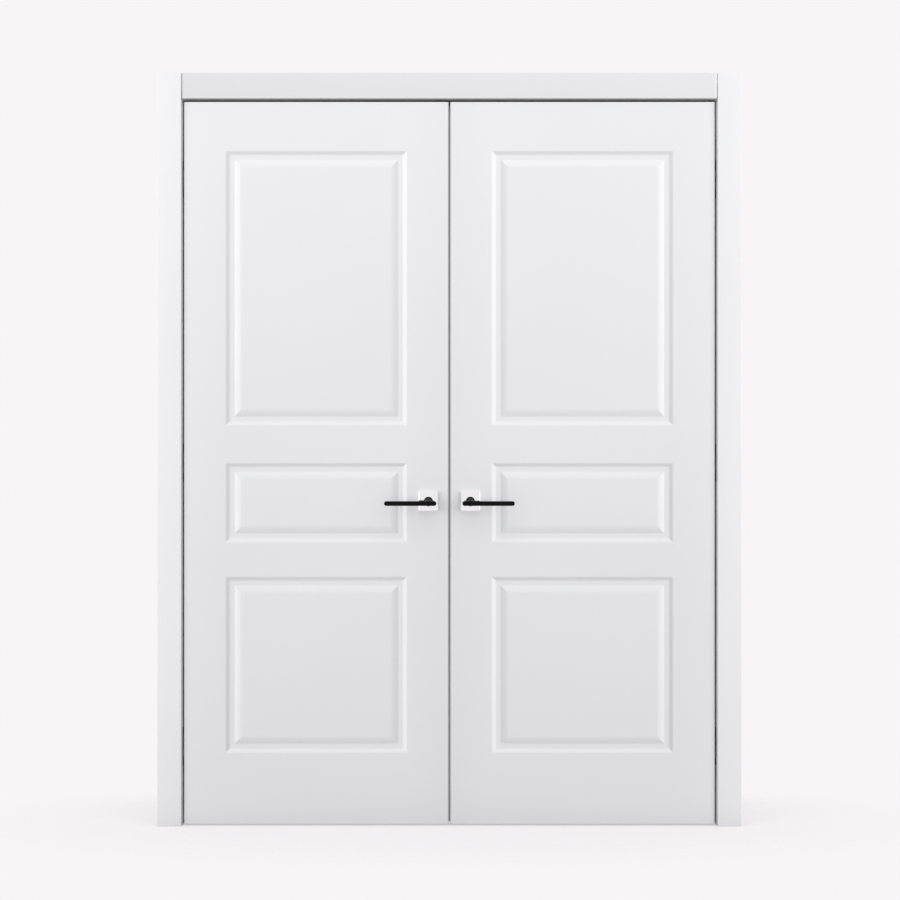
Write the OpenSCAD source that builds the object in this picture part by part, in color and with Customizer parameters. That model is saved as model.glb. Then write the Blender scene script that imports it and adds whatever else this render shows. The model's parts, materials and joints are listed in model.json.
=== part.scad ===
// Prehung double door: a pair of panelled leaves on concealed hinges in a rebated frame,
// with casings on both sides of the wall, lever handles, a magnetic latch and flush bolts.
// Millimetres. X runs across the doorway, Y through the wall from the pull side, Z up.

/* [Leaves] */
// Width of one leaf
leaf_w = 745; // [600:1:915]
// Height of a leaf
leaf_h = 2030; // [1950:1:2440]
// Thickness of a leaf
leaf_t = 40; // [38:0.5:50]
// Radius of the eased leaf edges
leaf_edge_r = 2; // [1:0.5:4]
// Gap between a leaf and its jamb
side_gap = 4; // [3:0.5:5]
// Gap between the two leaves
meet_gap = 4; // [3:0.5:6]
// Gap between a leaf and the head
top_gap = 6; // [3:0.5:8]
// Gap between a leaf and the floor
floor_gap = 5; // [4:1:15]
// Opening angle of a leaf, in degrees
leaf_swing = 90; // [60:5:90]

/* [Panels] */
// Width of the stiles
stile_w = 116; // [100:1:140]
// Height of the top rail
top_rail_h = 136; // [90:1:180]
// Height of the rail between the upper and middle panels
lock_rail_h = 103; // [60:1:140]
// Height of the middle panel
middle_panel_h = 226; // [160:1:300]
// Height of the rail between the middle and lower panels
mid_rail_h = 94; // [60:1:140]
// Height of the lower panel
lower_panel_h = 498; // [350:1:600]
// Height of the bottom rail
bottom_rail_h = 198; // [150:1:260]
// Width of the outer ogee of the moulding
ogee_w = 14; // [8:1:18]
// Width of the flat between the ogee and the bevel
flat_w = 15; // [8:1:20]
// Width of the bevel that rises to the field
bevel_w = 19; // [10:1:24]
// Depth of the moulding
mould_d = 6.5; // [3:0.5:9]

/* [Frame] */
// Thickness of the jambs and the head at the rebate
jamb_t = 36; // [34:1:48]
// Depth of the jambs and the head through the wall
jamb_d = 116; // [100:1:180]
// How far the stop stands in from the rebate
stop_h = 12; // [8:1:18]
// Space between the back of a leaf and the stop, for the seal
seal_gap = 4; // [3:0.5:6]
// Width of the seal's stem
seal_stem_w = 3; // [2:0.5:4]
// Depth of the seal's stem in the stop
seal_stem_d = 6; // [4:0.5:9]
// Thickness of the seal's flange, which covers the corner of the rebate
seal_flange_t = 1; // [0.5:0.25:1.5]
// Distance from the back of a leaf to the seal in its meeting edge
meet_seal_inset = 4; // [3:0.5:6]
// Radius of the fixing holes through the side jambs
fixing_r = 3.25; // [2.5:0.25:5]
// Height of the lower fixing hole
fixing_z = 270; // [150:10:400]
// Distance between the two fixing holes of a jamb
fixing_spacing = 1500; // [1000:10:1600]
// Distance of the fixing holes from the back of the jamb
fixing_inset = 30; // [20:1:45]

/* [Casings] */
// Width of the side casings
casing_w = 67; // [50:1:100]
// Height of the head casings
head_casing_h = 72; // [50:1:120]
// Thickness of the casings
casing_t = 10; // [8:0.5:16]
// Radius of the casing edges
casing_edge_r = 1.5; // [1:0.5:3]
// Strip of the jamb that stays in view beside a casing
reveal = 2; // [1:0.5:6]
// Width of the shadow joint between head and side casings
casing_joint = 0.8; // [0.2:0.1:2]
// Thickness of the casing's tongue
tongue_t = 5; // [4:0.5:6]
// Length of the casing's tongue
tongue_l = 14; // [8:1:18]
// Wood between the tongue's groove and the outside of the jamb
groove_wall = 2.5; // [2:0.5:4]

/* [Hinges] */
// Distance from the ends of a leaf to the middle of its end hinges
hinge_inset = 215; // [150:5:300]
// Number of hinges on a leaf
hinge_count = 3; // [2:1:4]
// Inner radius of the curved hinge arms
arm_r_in = 15; // [14:0.5:16]
// Outer radius of the curved hinge arms
arm_r_out = 23; // [21:0.5:24]
// Height of one hinge arm
arm_h = 24; // [16:1:26]
// Height of the web between the two arms of a hinge
arm_web = 10; // [6:1:16]
// Angle of a hinge arm that stays in each cup when the leaf is open
arm_hold = 12; // [8:1:13]
// Height of a hinge cup
cup_h = 110; // [104:1:130]
// Width of a hinge cup
cup_w = 24; // [23:0.5:26]
// Wood between the front of a leaf and a hinge cup
cup_front = 6; // [5:0.5:6.5]
// Depth of a hinge cup
cup_d = 21; // [20:0.5:24]

/* [Handles] */
// Height of the handles above the floor
handle_z = 912; // [850:1:1100]
// Distance from the meeting edge to the handle's axis
backset = 57; // [50:1:70]
// Side of the square roses
rose_w = 54; // [46:1:60]
// Thickness of the roses
rose_t = 9; // [6:0.5:12]
// Corner radius of the roses
rose_r = 3; // [1:0.5:6]
// Diameter of the lever's neck
neck_dia = 26; // [20:1:30]
// How far the lever stands out from the leaf
lever_out = 56; // [45:1:70]
// Length of the lever's bar from the axis to its tip
bar_l = 123; // [90:1:140]
// Length of the lever's bar past the axis
bar_tail = 23; // [16:1:30]
// Height of the lever's bar
bar_h = 14; // [10:1:18]
// Thickness of the lever's bar
bar_d = 12; // [8:1:16]
// How far the bar lies below the neck's axis
bar_drop = 4; // [0:0.5:5]
// Side of the square spindle
spindle_w = 8; // [7:0.5:8]
// How far the spindle reaches into a lever past the leaf's face
spindle_reach = 30; // [20:1:38]
// Distance between the two bolts of a handle
rose_bolt_spacing = 38; // [36:1:42]
// Radius of the handle bolts
rose_bolt_r = 2; // [1.5:0.25:2.5]

/* [Latch] */
// Width of the latch's and the keep's face plates
plate_w = 20; // [18:0.5:24]
// Height of the latch's and the keep's face plates
plate_h = 190; // [180:1:220]
// Thickness of the face plates
plate_t = 3; // [2:0.5:4]
// Depth of the latch case behind its face plate
case_d = 80; // [75:1:95]
// Height of the latch case
case_h = 150; // [140:1:160]
// Thickness of the latch case
case_t = 16; // [14:0.5:18]
// Thickness of the latch case's walls
case_wall = 1.5; // [1:0.25:2]
// Thickness of the latch bolt
latch_t = 11; // [8:0.5:11]
// Height of the latch bolt
latch_h = 28; // [20:1:32]
// Length of the latch bolt
latch_l = 44; // [36:1:46]
// Height of the latch bolt's middle above the handle's axis
latch_rise = 40; // [36:1:44]
// Travel of the latch bolt
latch_travel = 10; // [8:0.5:12]
// Room in the keep's box beyond the latch's travel
keep_spare = 6; // [4:1:12]
// Wall of the keep's box above and below the latch
keep_wall = 4; // [2:0.5:6]
// Radius of the follower inside the latch case
follower_r = 13; // [11:0.5:16]
// Radius of the follower's hub in the walls of the latch case
hub_r = 9; // [8:0.5:10]

/* [Flush bolts] */
// Width of the flush bolts' face plates
bolt_plate_w = 20; // [18:0.5:24]
// Height of the flush bolts' face plates
bolt_plate_h = 190; // [180:1:240]
// Length of the face plate past each end of the flush bolt's case
bolt_plate_end = 25; // [22:1:30]
// Distance from the end of the leaf to the flush bolt's face plate
bolt_inset = 60; // [40:1:100]
// Width of the flush bolt's case
bolt_case_w = 16; // [15:0.5:20]
// Depth of the flush bolt's case behind its plate
bolt_case_d = 23; // [22:1:28]
// Radius of the flush bolt's rod
rod_r = 4; // [3:0.5:4.5]
// Distance from the leaf's edge to the rod's axis
rod_inset = 17; // [16:0.5:18]
// Travel of the flush bolts
bolt_travel = 14; // [12:1:16]
// Length of the flush bolt's slide
slide_l = 40; // [30:1:50]
// Width of the flush bolt's slide
slide_w = 11; // [9:0.5:12]
// Depth of the flush bolt's slide
slide_d = 14; // [11:0.5:15]
// Width of the slide's thumb knob
knob_w = 8; // [6:0.5:9]
// Length of the slide's thumb knob
knob_l = 14; // [10:1:20]
// Length of the keeper plate in the head
keeper_l = 60; // [50:1:80]
// Thickness of the keeper plate
keeper_t = 2; // [1.5:0.25:3]
// Play of the flush bolt's rod in its keeper
keeper_play = 1; // [0.5:0.25:1.5]
// Depth of the rod's bore in the head
keeper_bore_d = 20; // [16:1:26]

/* [Screws] */
// Radius of the screws' shanks
screw_r = 2; // [1.5:0.25:2.25]
// Radius of the screws' heads
screw_head_r = 3.8; // [3.2:0.1:4]
// Length of the hinge screws
hinge_screw_l = 32; // [25:1:33]
// Length of the plate screws
plate_screw_l = 20; // [14:1:24]
// Length of the flush bolts' screws
bolt_screw_l = 11; // [8:0.5:11]
// Radius of the screws that hold the head between the jambs
corner_screw_r = 2.5; // [2:0.25:3]
// Head radius of the screws that hold the head between the jambs
corner_head_r = 5; // [4:0.25:6]
// Length of the screws that hold the head between the jambs
corner_screw_l = 75; // [60:1:90]

/* [Fits] */
// Play of a piece in its mortise or groove, on each side
seat_play = 0.1; // [0.05:0.05:0.3]
// Radial play of turning and sliding fits
run_play = 0.05; // [0.02:0.01:0.1]
// Play of the curved arms in their channels and of soft pieces
arm_play = 0.3; // [0.2:0.05:0.4]

/* [Hidden] */
$fn = 64;
paint = [0.93, 0.93, 0.94];
steel = [0.78, 0.78, 0.8];
black = [0.06, 0.06, 0.06];
grey = [0.35, 0.35, 0.36];
// Overshoot of cutting tools past the faces that they open
over = 1;
// Steps of each curve of the moulding
curve_steps = 6;

// Places across the doorway, on the right-hand side
edge_x = meet_gap / 2;
hinge_edge_x = edge_x + leaf_w;
jamb_x = hinge_edge_x + side_gap;
pivot_x = hinge_edge_x + side_gap / 2;
handle_x = edge_x + backset;
// Places up the doorway
leaf_top = floor_gap + leaf_h;
leaf_mid_z = floor_gap + leaf_h / 2;
head_z = leaf_top + top_gap;
casing_top = head_z + reveal + head_casing_h;
hinge_pitch = (leaf_h - 2 * hinge_inset) / (hinge_count - 1);
hinge_zs = [for (i = [0 : hinge_count - 1]) floor_gap + hinge_inset + i * hinge_pitch];
// Places through the wall, with the whole door centred on Y
back_reach = max(jamb_d + casing_t, leaf_t + lever_out);
front_y = (lever_out - back_reach) / 2;
back_y = front_y + leaf_t;
mid_y = front_y + leaf_t / 2;
stop_y = back_y + seal_gap;
jamb_back_y = front_y + jamb_d;
cup_y = front_y + cup_front + cup_w / 2;
seal_x = jamb_x - stop_h / 2;
seal_z = head_z - stop_h / 2;
groove_in = jamb_t - groove_wall - tongue_t - 2 * seat_play;
arm_reach = leaf_swing / 2 + arm_hold;
keep_d = latch_travel + keep_spare;
// Moulding and panels, as heights from the bottom of the leaf
mould_w = ogee_w + flat_w + bevel_w;
panel_w = leaf_w - 2 * stile_w;
middle_panel_z = bottom_rail_h + lower_panel_h + mid_rail_h;
upper_panel_z = middle_panel_z + middle_panel_h + lock_rail_h;
upper_panel_h = leaf_h - top_rail_h - upper_panel_z;
panels = [
  [bottom_rail_h, lower_panel_h],
  [middle_panel_z, middle_panel_h],
  [upper_panel_z, upper_panel_h]
];
// Latch and flush bolts
neck_r = neck_dia / 2;
latch_z = handle_z + latch_rise;
plate_screw_z = plate_h / 2 - plate_w / 2;
bolt_top_z = leaf_top - bolt_inset - bolt_plate_h / 2;
bolt_case_h = bolt_plate_h - 2 * bolt_plate_end;
bolt_screw_z = bolt_plate_h / 2 - bolt_plate_w / 2;
rod_tip_gap = 1;
keeper_hole_r = rod_r + keeper_play;
keeper_screw_x = keeper_l / 2 - plate_w / 2;

// Smooth rise from 0 to 1
function ease(t) = (1 - cos(180 * t)) / 2;

module left() { mirror([1, 0, 0]) children(); }
// Turns what stands on the front of a leaf round to its back
module behind() { translate([0, 2 * mid_y, 0]) mirror([0, 1, 0]) children(); }
// Turns what is at the top of a leaf round to its bottom
module below() { translate([0, 0, 2 * leaf_mid_z]) mirror([0, 0, 1]) children(); }

// Plate or pocket with round ends, its face at x = 0 and its depth along +X
module stadium_x(w, h, d) {
  translate([0, -w / 2, -(h - w) / 2]) cube([d, w, h - w]);
  for (s = [-1, 1]) translate([0, 0, s * (h - w) / 2]) rotate([0, 90, 0]) cylinder(h = d, r = w / 2);
}

// Countersunk screw along +X, its head flush at x = 0
module screw_x(l, r, head_r) {
  rotate([0, 90, 0]) {
    cylinder(h = head_r - r, r1 = head_r, r2 = r);
    cylinder(h = l, r = r);
  }
}

// Hole that a screw fits in, open past its face
module screw_hole_x(l, r, head_r) {
  screw_x(l + seat_play, r + run_play, head_r + run_play);
  translate([-over, 0, 0]) rotate([0, 90, 0]) cylinder(h = over + run_play, r = head_r + run_play);
}

// Rectangle with round corners on its front side, in X and Y, its back on y = 0
module eased_strip(w, t, r) {
  translate([0, -t + r]) square([w, t - r]);
  translate([r, -t]) square([w - 2 * r, r + run_play]);
  for (x = [r, w - r]) translate([x, -t + r]) circle(r = r);
}

// Frame

module jamb_profile() {
  difference() {
    union() {
      translate([jamb_x, front_y]) square([jamb_t, jamb_d]);
      translate([jamb_x - stop_h, stop_y]) square([stop_h + over, jamb_back_y - stop_y]);
    }
    translate([jamb_x + groove_in, front_y - over])
      square([tongue_t + 2 * seat_play, tongue_l + seat_play + over]);
    translate([jamb_x + groove_in, jamb_back_y - tongue_l - seat_play])
      square([tongue_t + 2 * seat_play, tongue_l + seat_play + over]);
    translate([seal_x - seal_stem_w / 2 - seat_play, stop_y - over])
      square([seal_stem_w + 2 * seat_play, seal_stem_d + seat_play + over]);
  }
}

module at_hinges() { for (z = hinge_zs) translate([0, 0, z]) children(); }

module hinge_screw_places() {
  for (s = [-1, 1]) translate([0, 0, s * (cup_h - cup_w) / 2]) children();
}

module corner_screw_places() {
  for (y = [jamb_d / 3, 2 * jamb_d / 3])
    translate([jamb_x + jamb_t, front_y + y, head_z + jamb_t / 2]) rotate([0, 0, 180]) children();
}

module side_jamb() {
  color(paint) difference() {
    linear_extrude(height = head_z + jamb_t) jamb_profile();
    at_hinges() translate([jamb_x, cup_y, 0]) {
      translate([-over, 0, 0]) stadium_x(cup_w + 2 * seat_play, cup_h + 2 * seat_play, cup_d + seat_play + over);
      hinge_screw_places() rotate([0, 90, 0]) cylinder(h = hinge_screw_l + seat_play, r = screw_r + run_play);
    }
    for (i = [0, 1])
      translate([jamb_x - stop_h - over, jamb_back_y - fixing_inset, fixing_z + i * fixing_spacing])
        rotate([0, 90, 0]) cylinder(h = stop_h + jamb_t + 2 * over, r = fixing_r);
    corner_screw_places() screw_hole_x(corner_screw_l, corner_screw_r, corner_head_r);
    translate([0, 0, head_z]) linear_extrude(height = jamb_t + over)
      translate([jamb_x - stop_h - over, stop_y - over]) square([stop_h + over, jamb_d]);
  }
}

module left_jamb() { left() side_jamb(); }
module right_jamb() { side_jamb(); }

// The head's section is the jamb's, laid over to run across the doorway
module head_bar(half_l, z0, z1, y0, y1) {
  translate([-half_l, y0, z0]) cube([2 * half_l, y1 - y0, z1 - z0]);
}

module head_jamb() {
  groove_z = head_z + groove_in;
  color(paint) difference() {
    union() {
      head_bar(jamb_x, head_z, head_z + jamb_t, front_y, jamb_back_y);
      head_bar(jamb_x - stop_h, head_z - stop_h, head_z + over, stop_y, jamb_back_y);
    }
    head_bar(jamb_x + over, groove_z, groove_z + tongue_t + 2 * seat_play,
      front_y - over, front_y + tongue_l + seat_play);
    head_bar(jamb_x + over, groove_z, groove_z + tongue_t + 2 * seat_play,
      jamb_back_y - tongue_l - seat_play, jamb_back_y + over);
    head_bar(jamb_x, seal_z - seal_stem_w / 2 - seat_play, seal_z + seal_stem_w / 2 + seat_play,
      stop_y - over, stop_y + seal_stem_d + seat_play);
    corner_screw_places() screw_hole_x(corner_screw_l, corner_screw_r, corner_head_r);
    left() corner_screw_places() screw_hole_x(corner_screw_l, corner_screw_r, corner_head_r);
    keeper_place() {
      translate([-over, 0, 0]) stadium_x(plate_w + 2 * seat_play, keeper_l + 2 * seat_play, keeper_t + over);
      rotate([0, 90, 0]) cylinder(h = keeper_bore_d, r = keeper_hole_r);
      keeper_screw_places() rotate([0, 90, 0]) cylinder(h = plate_screw_l + seat_play, r = screw_r + run_play);
    }
  }
}

// Casing of a side, from its inner edge; its tongue enters the jamb's groove
module casing_profile(inner_x) {
  translate([inner_x, 0]) eased_strip(casing_w, casing_t, casing_edge_r);
  translate([jamb_x + groove_in + seat_play, -over]) square([tongue_t, tongue_l + over]);
}

module side_casing(inner_x, top_z) {
  color(paint) linear_extrude(height = top_z) casing_profile(inner_x);
}

module head_casing(half_l, inner_z, top_z) {
  tongue_half_l = min(half_l, jamb_x - seat_play);
  color(paint) {
    translate([-half_l, 0, inner_z]) rotate([90, 0, 90]) linear_extrude(height = 2 * half_l)
      mirror([1, -1]) eased_strip(top_z - inner_z, casing_t, casing_edge_r);
    head_bar(tongue_half_l, head_z + groove_in + seat_play, head_z + groove_in + seat_play + tongue_t,
      -over, tongue_l);
  }
}

front_inner_x = jamb_x + reveal;
back_inner_x = jamb_x - stop_h + reveal;
back_inner_z = head_z - stop_h + reveal;
back_casing_top = back_inner_z + head_casing_h;

module at_front() { translate([0, front_y, 0]) children(); }
module at_back() { translate([0, jamb_back_y, 0]) mirror([0, 1, 0]) children(); }

module front_casing_right() { at_front() side_casing(front_inner_x, casing_top); }
module front_casing_left() { left() front_casing_right(); }
module front_casing_head() { at_front() head_casing(front_inner_x - casing_joint, head_z + reveal, casing_top); }
module back_casing_right() { at_back() side_casing(back_inner_x, back_casing_top); }
module back_casing_left() { left() back_casing_right(); }
module back_casing_head() { at_back() head_casing(back_inner_x - casing_joint, back_inner_z, back_casing_top); }

// Seal: a stem in the stop's groove, a round bulb that the leaf closes on and a flange into the corner
module seal_profile() {
  bulb_r = (seal_gap - arm_play) / 2;
  translate([-seal_stem_w / 2, -bulb_r]) square([seal_stem_w, bulb_r + seal_stem_d]);
  translate([0, -bulb_r]) circle(r = bulb_r);
  translate([-bulb_r, -seal_flange_t]) square([bulb_r + stop_h / 2 - arm_play, seal_flange_t]);
}

module side_seal() {
  color(grey) translate([seal_x, stop_y, 0]) linear_extrude(height = head_z - arm_play) seal_profile();
}
module right_seal() { side_seal(); }
module left_seal() { left() side_seal(); }
module head_seal() {
  half_l = seal_x - seal_gap;
  color(grey) difference() {
    translate([-half_l, stop_y, seal_z]) rotate([0, 90, 0]) linear_extrude(height = 2 * half_l)
      mirror([1, 0]) seal_profile();
    for (s = [-1, 1]) translate([s * (jamb_x - seat_play) - stop_h, stop_y, seal_z - stop_h])
      cube(2 * stop_h);
  }
}

// Seal in a leaf's meeting edge: a stem in a groove and a round-nosed fin to the middle of the gap
module meeting_seal_profile(play) {
  fin_l = meet_gap / 2 - arm_play;
  nose_r = seal_stem_w / 2;
  translate([nose_r - fin_l, -nose_r - play]) square([seal_stem_d + fin_l - nose_r + play, seal_stem_w + 2 * play]);
  translate([nose_r - fin_l, 0]) circle(r = nose_r + play);
}
module meeting_seal(play) {
  translate([edge_x, back_y - meet_seal_inset, floor_gap]) linear_extrude(height = leaf_h) meeting_seal_profile(play);
}
module right_meeting_seal() { color(grey) meeting_seal(0); }
module left_meeting_seal() { left() color(grey) meeting_seal(0); }

// Hinges: curved arms that slide round the hinge axis in channels of two cups

module arm_ring(r_in, r_out, h, from_deg, to_deg) {
  rotate([0, 0, from_deg]) rotate_extrude(angle = to_deg - from_deg)
    translate([r_in, -h / 2]) square([r_out - r_in, h]);
}

module arm_levels() {
  for (s = [-1, 1]) translate([pivot_x, front_y, s * (arm_h + arm_web) / 2]) children();
}

module frame_cup() {
  difference() {
    translate([jamb_x, cup_y, 0]) stadium_x(cup_w, cup_h, cup_d);
    arm_levels() arm_ring(arm_r_in - arm_play, arm_r_out + arm_play, arm_h + 2 * arm_play,
      90 - arm_reach - 2, 90);
    translate([jamb_x, cup_y, 0]) hinge_screw_places() screw_hole_x(hinge_screw_l, screw_r, screw_head_r);
  }
}

// Carries the frame's side of a hinge over to the leaf's side
module leaf_side() { translate([2 * pivot_x, 0, 0]) mirror([1, 0, 0]) children(); }

module right_frame_cups() { color(steel) at_hinges() frame_cup(); }
module left_frame_cups() { left() right_frame_cups(); }
module right_leaf_cups() { leaf_side() right_frame_cups(); }
module left_leaf_cups() { left() right_leaf_cups(); }

module hinge_arms() {
  color(steel) at_hinges() arm_levels() arm_ring(arm_r_in, arm_r_out, arm_h, 90 - arm_reach, 90 + arm_reach);
}
module right_hinge_arms() { hinge_arms(); }
module left_hinge_arms() { left() hinge_arms(); }

module hinge_screws() {
  color(steel) at_hinges() translate([jamb_x, cup_y, 0]) hinge_screw_places()
    screw_x(hinge_screw_l, screw_r, screw_head_r);
}
module frame_hinge_screws() {
  hinge_screws();
  left() hinge_screws();
}
module right_hinge_screws() { leaf_side() hinge_screws(); }
module left_hinge_screws() { left() right_hinge_screws(); }

// Keeper for the top flush bolt, in the head above the passive leaf
module keeper_place() {
  translate([-edge_x - rod_inset, mid_y, head_z]) rotate([0, -90, 0]) children();
}
module keeper_screw_places() { for (s = [-1, 1]) translate([0, 0, s * keeper_screw_x]) children(); }
module bolt_keeper() {
  color(steel) keeper_place() difference() {
    stadium_x(plate_w, keeper_l, keeper_t);
    translate([-over, 0, 0]) rotate([0, 90, 0]) cylinder(h = keeper_t + 2 * over, r = keeper_hole_r);
    keeper_screw_places() screw_hole_x(plate_screw_l, screw_r, screw_head_r);
  }
}
module keeper_screws() {
  color(steel) keeper_place() keeper_screw_places() screw_x(plate_screw_l, screw_r, screw_head_r);
}
module corner_screws() {
  color(steel) {
    corner_screw_places() screw_x(corner_screw_l, corner_screw_r, corner_head_r);
    left() corner_screw_places() screw_x(corner_screw_l, corner_screw_r, corner_head_r);
  }
}

// Leaves

// Section of the moulding: u runs in from the panel's outer edge, v goes into the leaf
mould_points = concat(
  [[mould_w, -over], [0, -over]],
  [for (i = [0 : curve_steps]) [ogee_w * i / curve_steps, mould_d * ease(i / curve_steps)]],
  [for (i = [0 : curve_steps]) [ogee_w + flat_w + bevel_w * i / curve_steps, mould_d * (1 - ease(i / curve_steps))]]
);

// One mitred run of moulding along +X, cut into the face at y = 0
module mould_run(l) {
  intersection() {
    rotate([90, 0, 90]) linear_extrude(height = l) mirror([1, -1]) polygon(mould_points);
    translate([0, mould_d + over, 0]) rotate([90, 0, 0]) linear_extrude(height = mould_d + 3 * over)
      polygon([[0, 0], [l, 0], [l - mould_w, mould_w], [mould_w, mould_w]]);
  }
}

module panel_groove(w, h) {
  mould_run(w);
  translate([w, 0, 0]) rotate([0, -90, 0]) mould_run(h);
  translate([w, 0, h]) rotate([0, 180, 0]) mould_run(w);
  translate([0, 0, h]) rotate([0, 90, 0]) mould_run(h);
}

module leaf_panels() {
  for (p = panels)
    translate([edge_x + stile_w, front_y, floor_gap + p[0]]) panel_groove(panel_w, p[1]);
}

module leaf_blank() {
  translate([edge_x, mid_y, floor_gap]) linear_extrude(height = leaf_h) {
    eased_strip(leaf_w, leaf_t / 2, leaf_edge_r);
    mirror([0, 1]) eased_strip(leaf_w, leaf_t / 2, leaf_edge_r);
  }
}

// What both leaves have: panels on both faces, hinge mortises and handle bolt holes
module leaf_slab() {
  difference() {
    leaf_blank();
    leaf_panels();
    behind() leaf_panels();
    leaf_side() at_hinges() translate([jamb_x, cup_y, 0]) {
      translate([-over, 0, 0]) stadium_x(cup_w + 2 * seat_play, cup_h + 2 * seat_play, cup_d + seat_play + over);
      hinge_screw_places() rotate([0, 90, 0]) cylinder(h = hinge_screw_l + seat_play, r = screw_r + run_play);
    }
    rose_bolt_places() translate([0, -over, 0]) along_y(leaf_t + 2 * over, rose_bolt_r + run_play);
    meeting_seal(seat_play);
  }
}

// Cylinder along +Y
module along_y(l, r) { rotate([-90, 0, 0]) cylinder(h = l, r = r); }
module handle_place() { translate([handle_x, front_y, handle_z]) children(); }
module rose_bolt_places() {
  for (s = [-1, 1]) handle_place() translate([0, 0, s * rose_bolt_spacing / 2]) children();
}
module edge_place(z) { translate([edge_x, mid_y, z]) children(); }

// Mortise for a face plate and the box behind it, in the meeting edge
module plate_mortise(w, h, t, box_w, box_h, box_d) {
  translate([-over, 0, 0]) stadium_x(w + 2 * seat_play, h + 2 * seat_play, t + over);
  translate([0, -box_w / 2 - seat_play, -box_h / 2 - seat_play])
    cube([t + box_d + seat_play, box_w + 2 * seat_play, box_h + 2 * seat_play]);
}

module plate_screw_places() { for (s = [-1, 1]) translate([0, 0, s * plate_screw_z]) children(); }
module plate_screw_bores() {
  plate_screw_places() rotate([0, 90, 0]) cylinder(h = plate_screw_l + seat_play, r = screw_r + run_play);
}

module right_slab() {
  color(paint) difference() {
    leaf_slab();
    edge_place(handle_z) {
      plate_mortise(plate_w, plate_h, plate_t, case_t, case_h, case_d);
      plate_screw_bores();
    }
    handle_place() translate([0, -over, 0]) along_y(leaf_t + 2 * over, hub_r + over);
  }
}

module left_slab() {
  left() color(paint) difference() {
    leaf_slab();
    edge_place(handle_z) {
      translate([-over, 0, 0]) stadium_x(plate_w + 2 * seat_play, plate_h + 2 * seat_play, plate_t + over);
      plate_screw_bores();
    }
    edge_place(latch_z) keep_box_blank(seat_play);
    handle_place() translate([0, -over, 0]) along_y(leaf_t + 2 * over, spindle_w / sqrt(2) + arm_play);
    flush_bolt_mortise();
    below() flush_bolt_mortise();
  }
}

// Handles

module rose() {
  color(steel) handle_place() difference() {
    rotate([90, 0, 0]) linear_extrude(height = rose_t) {
      square([rose_w - 2 * rose_r, rose_w], center = true);
      square([rose_w, rose_w - 2 * rose_r], center = true);
      for (x = [-1, 1], y = [-1, 1])
        translate([x, y] * (rose_w / 2 - rose_r)) circle(r = rose_r);
    }
    translate([0, -rose_t - over, 0]) along_y(rose_t + 2 * over, neck_r + run_play);
    for (s = [-1, 1])
      translate([0, -rose_t / 2, s * rose_bolt_spacing / 2]) along_y(rose_t, rose_bolt_r + run_play);
  }
}

// Lever: a neck that turns in the rose and a straight bar across its end
module lever() {
  neck_l = lever_out - bar_d - arm_play;
  color(black) handle_place() difference() {
    union() {
      translate([0, -arm_play - neck_l, 0]) along_y(neck_l, neck_r);
      translate([0, bar_d - lever_out, -bar_drop]) rotate([90, 0, 0]) linear_extrude(height = bar_d) {
        bar_r = bar_h / 2;
        translate([bar_r - bar_tail, -bar_r]) square([bar_l + bar_tail - bar_h, bar_h]);
        for (x = [bar_r - bar_tail, bar_l - bar_r]) translate([x, 0]) circle(r = bar_r);
        intersection() {
          translate([0, bar_drop]) circle(r = neck_r);
          translate([-neck_r, -bar_r]) square([neck_dia, neck_dia]);
        }
      }
    }
    translate([-spindle_w / 2 - run_play, -spindle_reach - seat_play, -spindle_w / 2 - run_play])
      cube([spindle_w + 2 * run_play, spindle_reach + over, spindle_w + 2 * run_play]);
  }
}

module spindle() {
  color(steel) handle_place() translate([-spindle_w / 2, -spindle_reach, -spindle_w / 2])
    cube([spindle_w, leaf_t + 2 * spindle_reach, spindle_w]);
}

module rose_bolts() {
  color(steel) rose_bolt_places() translate([0, -rose_t / 2 + seat_play, 0])
    along_y(leaf_t + rose_t - 2 * seat_play, rose_bolt_r);
}

module right_front_rose() { rose(); }
module right_back_rose() { behind() rose(); }
module right_front_lever() { lever(); }
module right_back_lever() { behind() lever(); }
module right_spindle() { spindle(); }
module right_rose_bolts() { rose_bolts(); }
module left_front_rose() { left() rose(); }
module left_back_rose() { left() behind() rose(); }
module left_front_lever() { left() lever(); }
module left_back_lever() { left() behind() lever(); }
module left_spindle() { left() spindle(); }
module left_rose_bolts() { left() rose_bolts(); }

// Latch in the active leaf

module latch_hole(play) {
  translate([-over, -latch_t / 2 - play, -latch_h / 2 - play])
    cube([plate_t + 2 * over, latch_t + 2 * play, latch_h + 2 * play]);
}

module latch_plate() {
  color(steel) difference() {
    edge_place(handle_z) stadium_x(plate_w, plate_h, plate_t);
    edge_place(latch_z) latch_hole(seat_play);
    edge_place(handle_z) plate_screw_places() screw_hole_x(plate_screw_l, screw_r, screw_head_r);
  }
}

module latch_case() {
  color(steel) difference() {
    edge_place(handle_z) translate([plate_t, -case_t / 2, -case_h / 2]) cube([case_d, case_t, case_h]);
    edge_place(handle_z) translate([plate_t - over, -case_t / 2 + case_wall, -case_h / 2 + case_wall])
      cube([case_d - case_wall + over, case_t - 2 * case_wall, case_h - 2 * case_wall]);
    handle_place() along_y(leaf_t, hub_r + run_play);
    rose_bolt_places() along_y(leaf_t, rose_bolt_r + seat_play);
  }
}

module latch_follower() {
  disc_t = case_t - 2 * case_wall - 2 * arm_play;
  color(steel) handle_place() difference() {
    translate([0, leaf_t / 2, 0]) {
      translate([0, -disc_t / 2, 0]) along_y(disc_t, follower_r);
      translate([0, -case_t / 2, 0]) along_y(case_t, hub_r);
    }
    translate([-spindle_w / 2 - run_play, 0, -spindle_w / 2 - run_play])
      cube([spindle_w + 2 * run_play, leaf_t, spindle_w + 2 * run_play]);
  }
}

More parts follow.
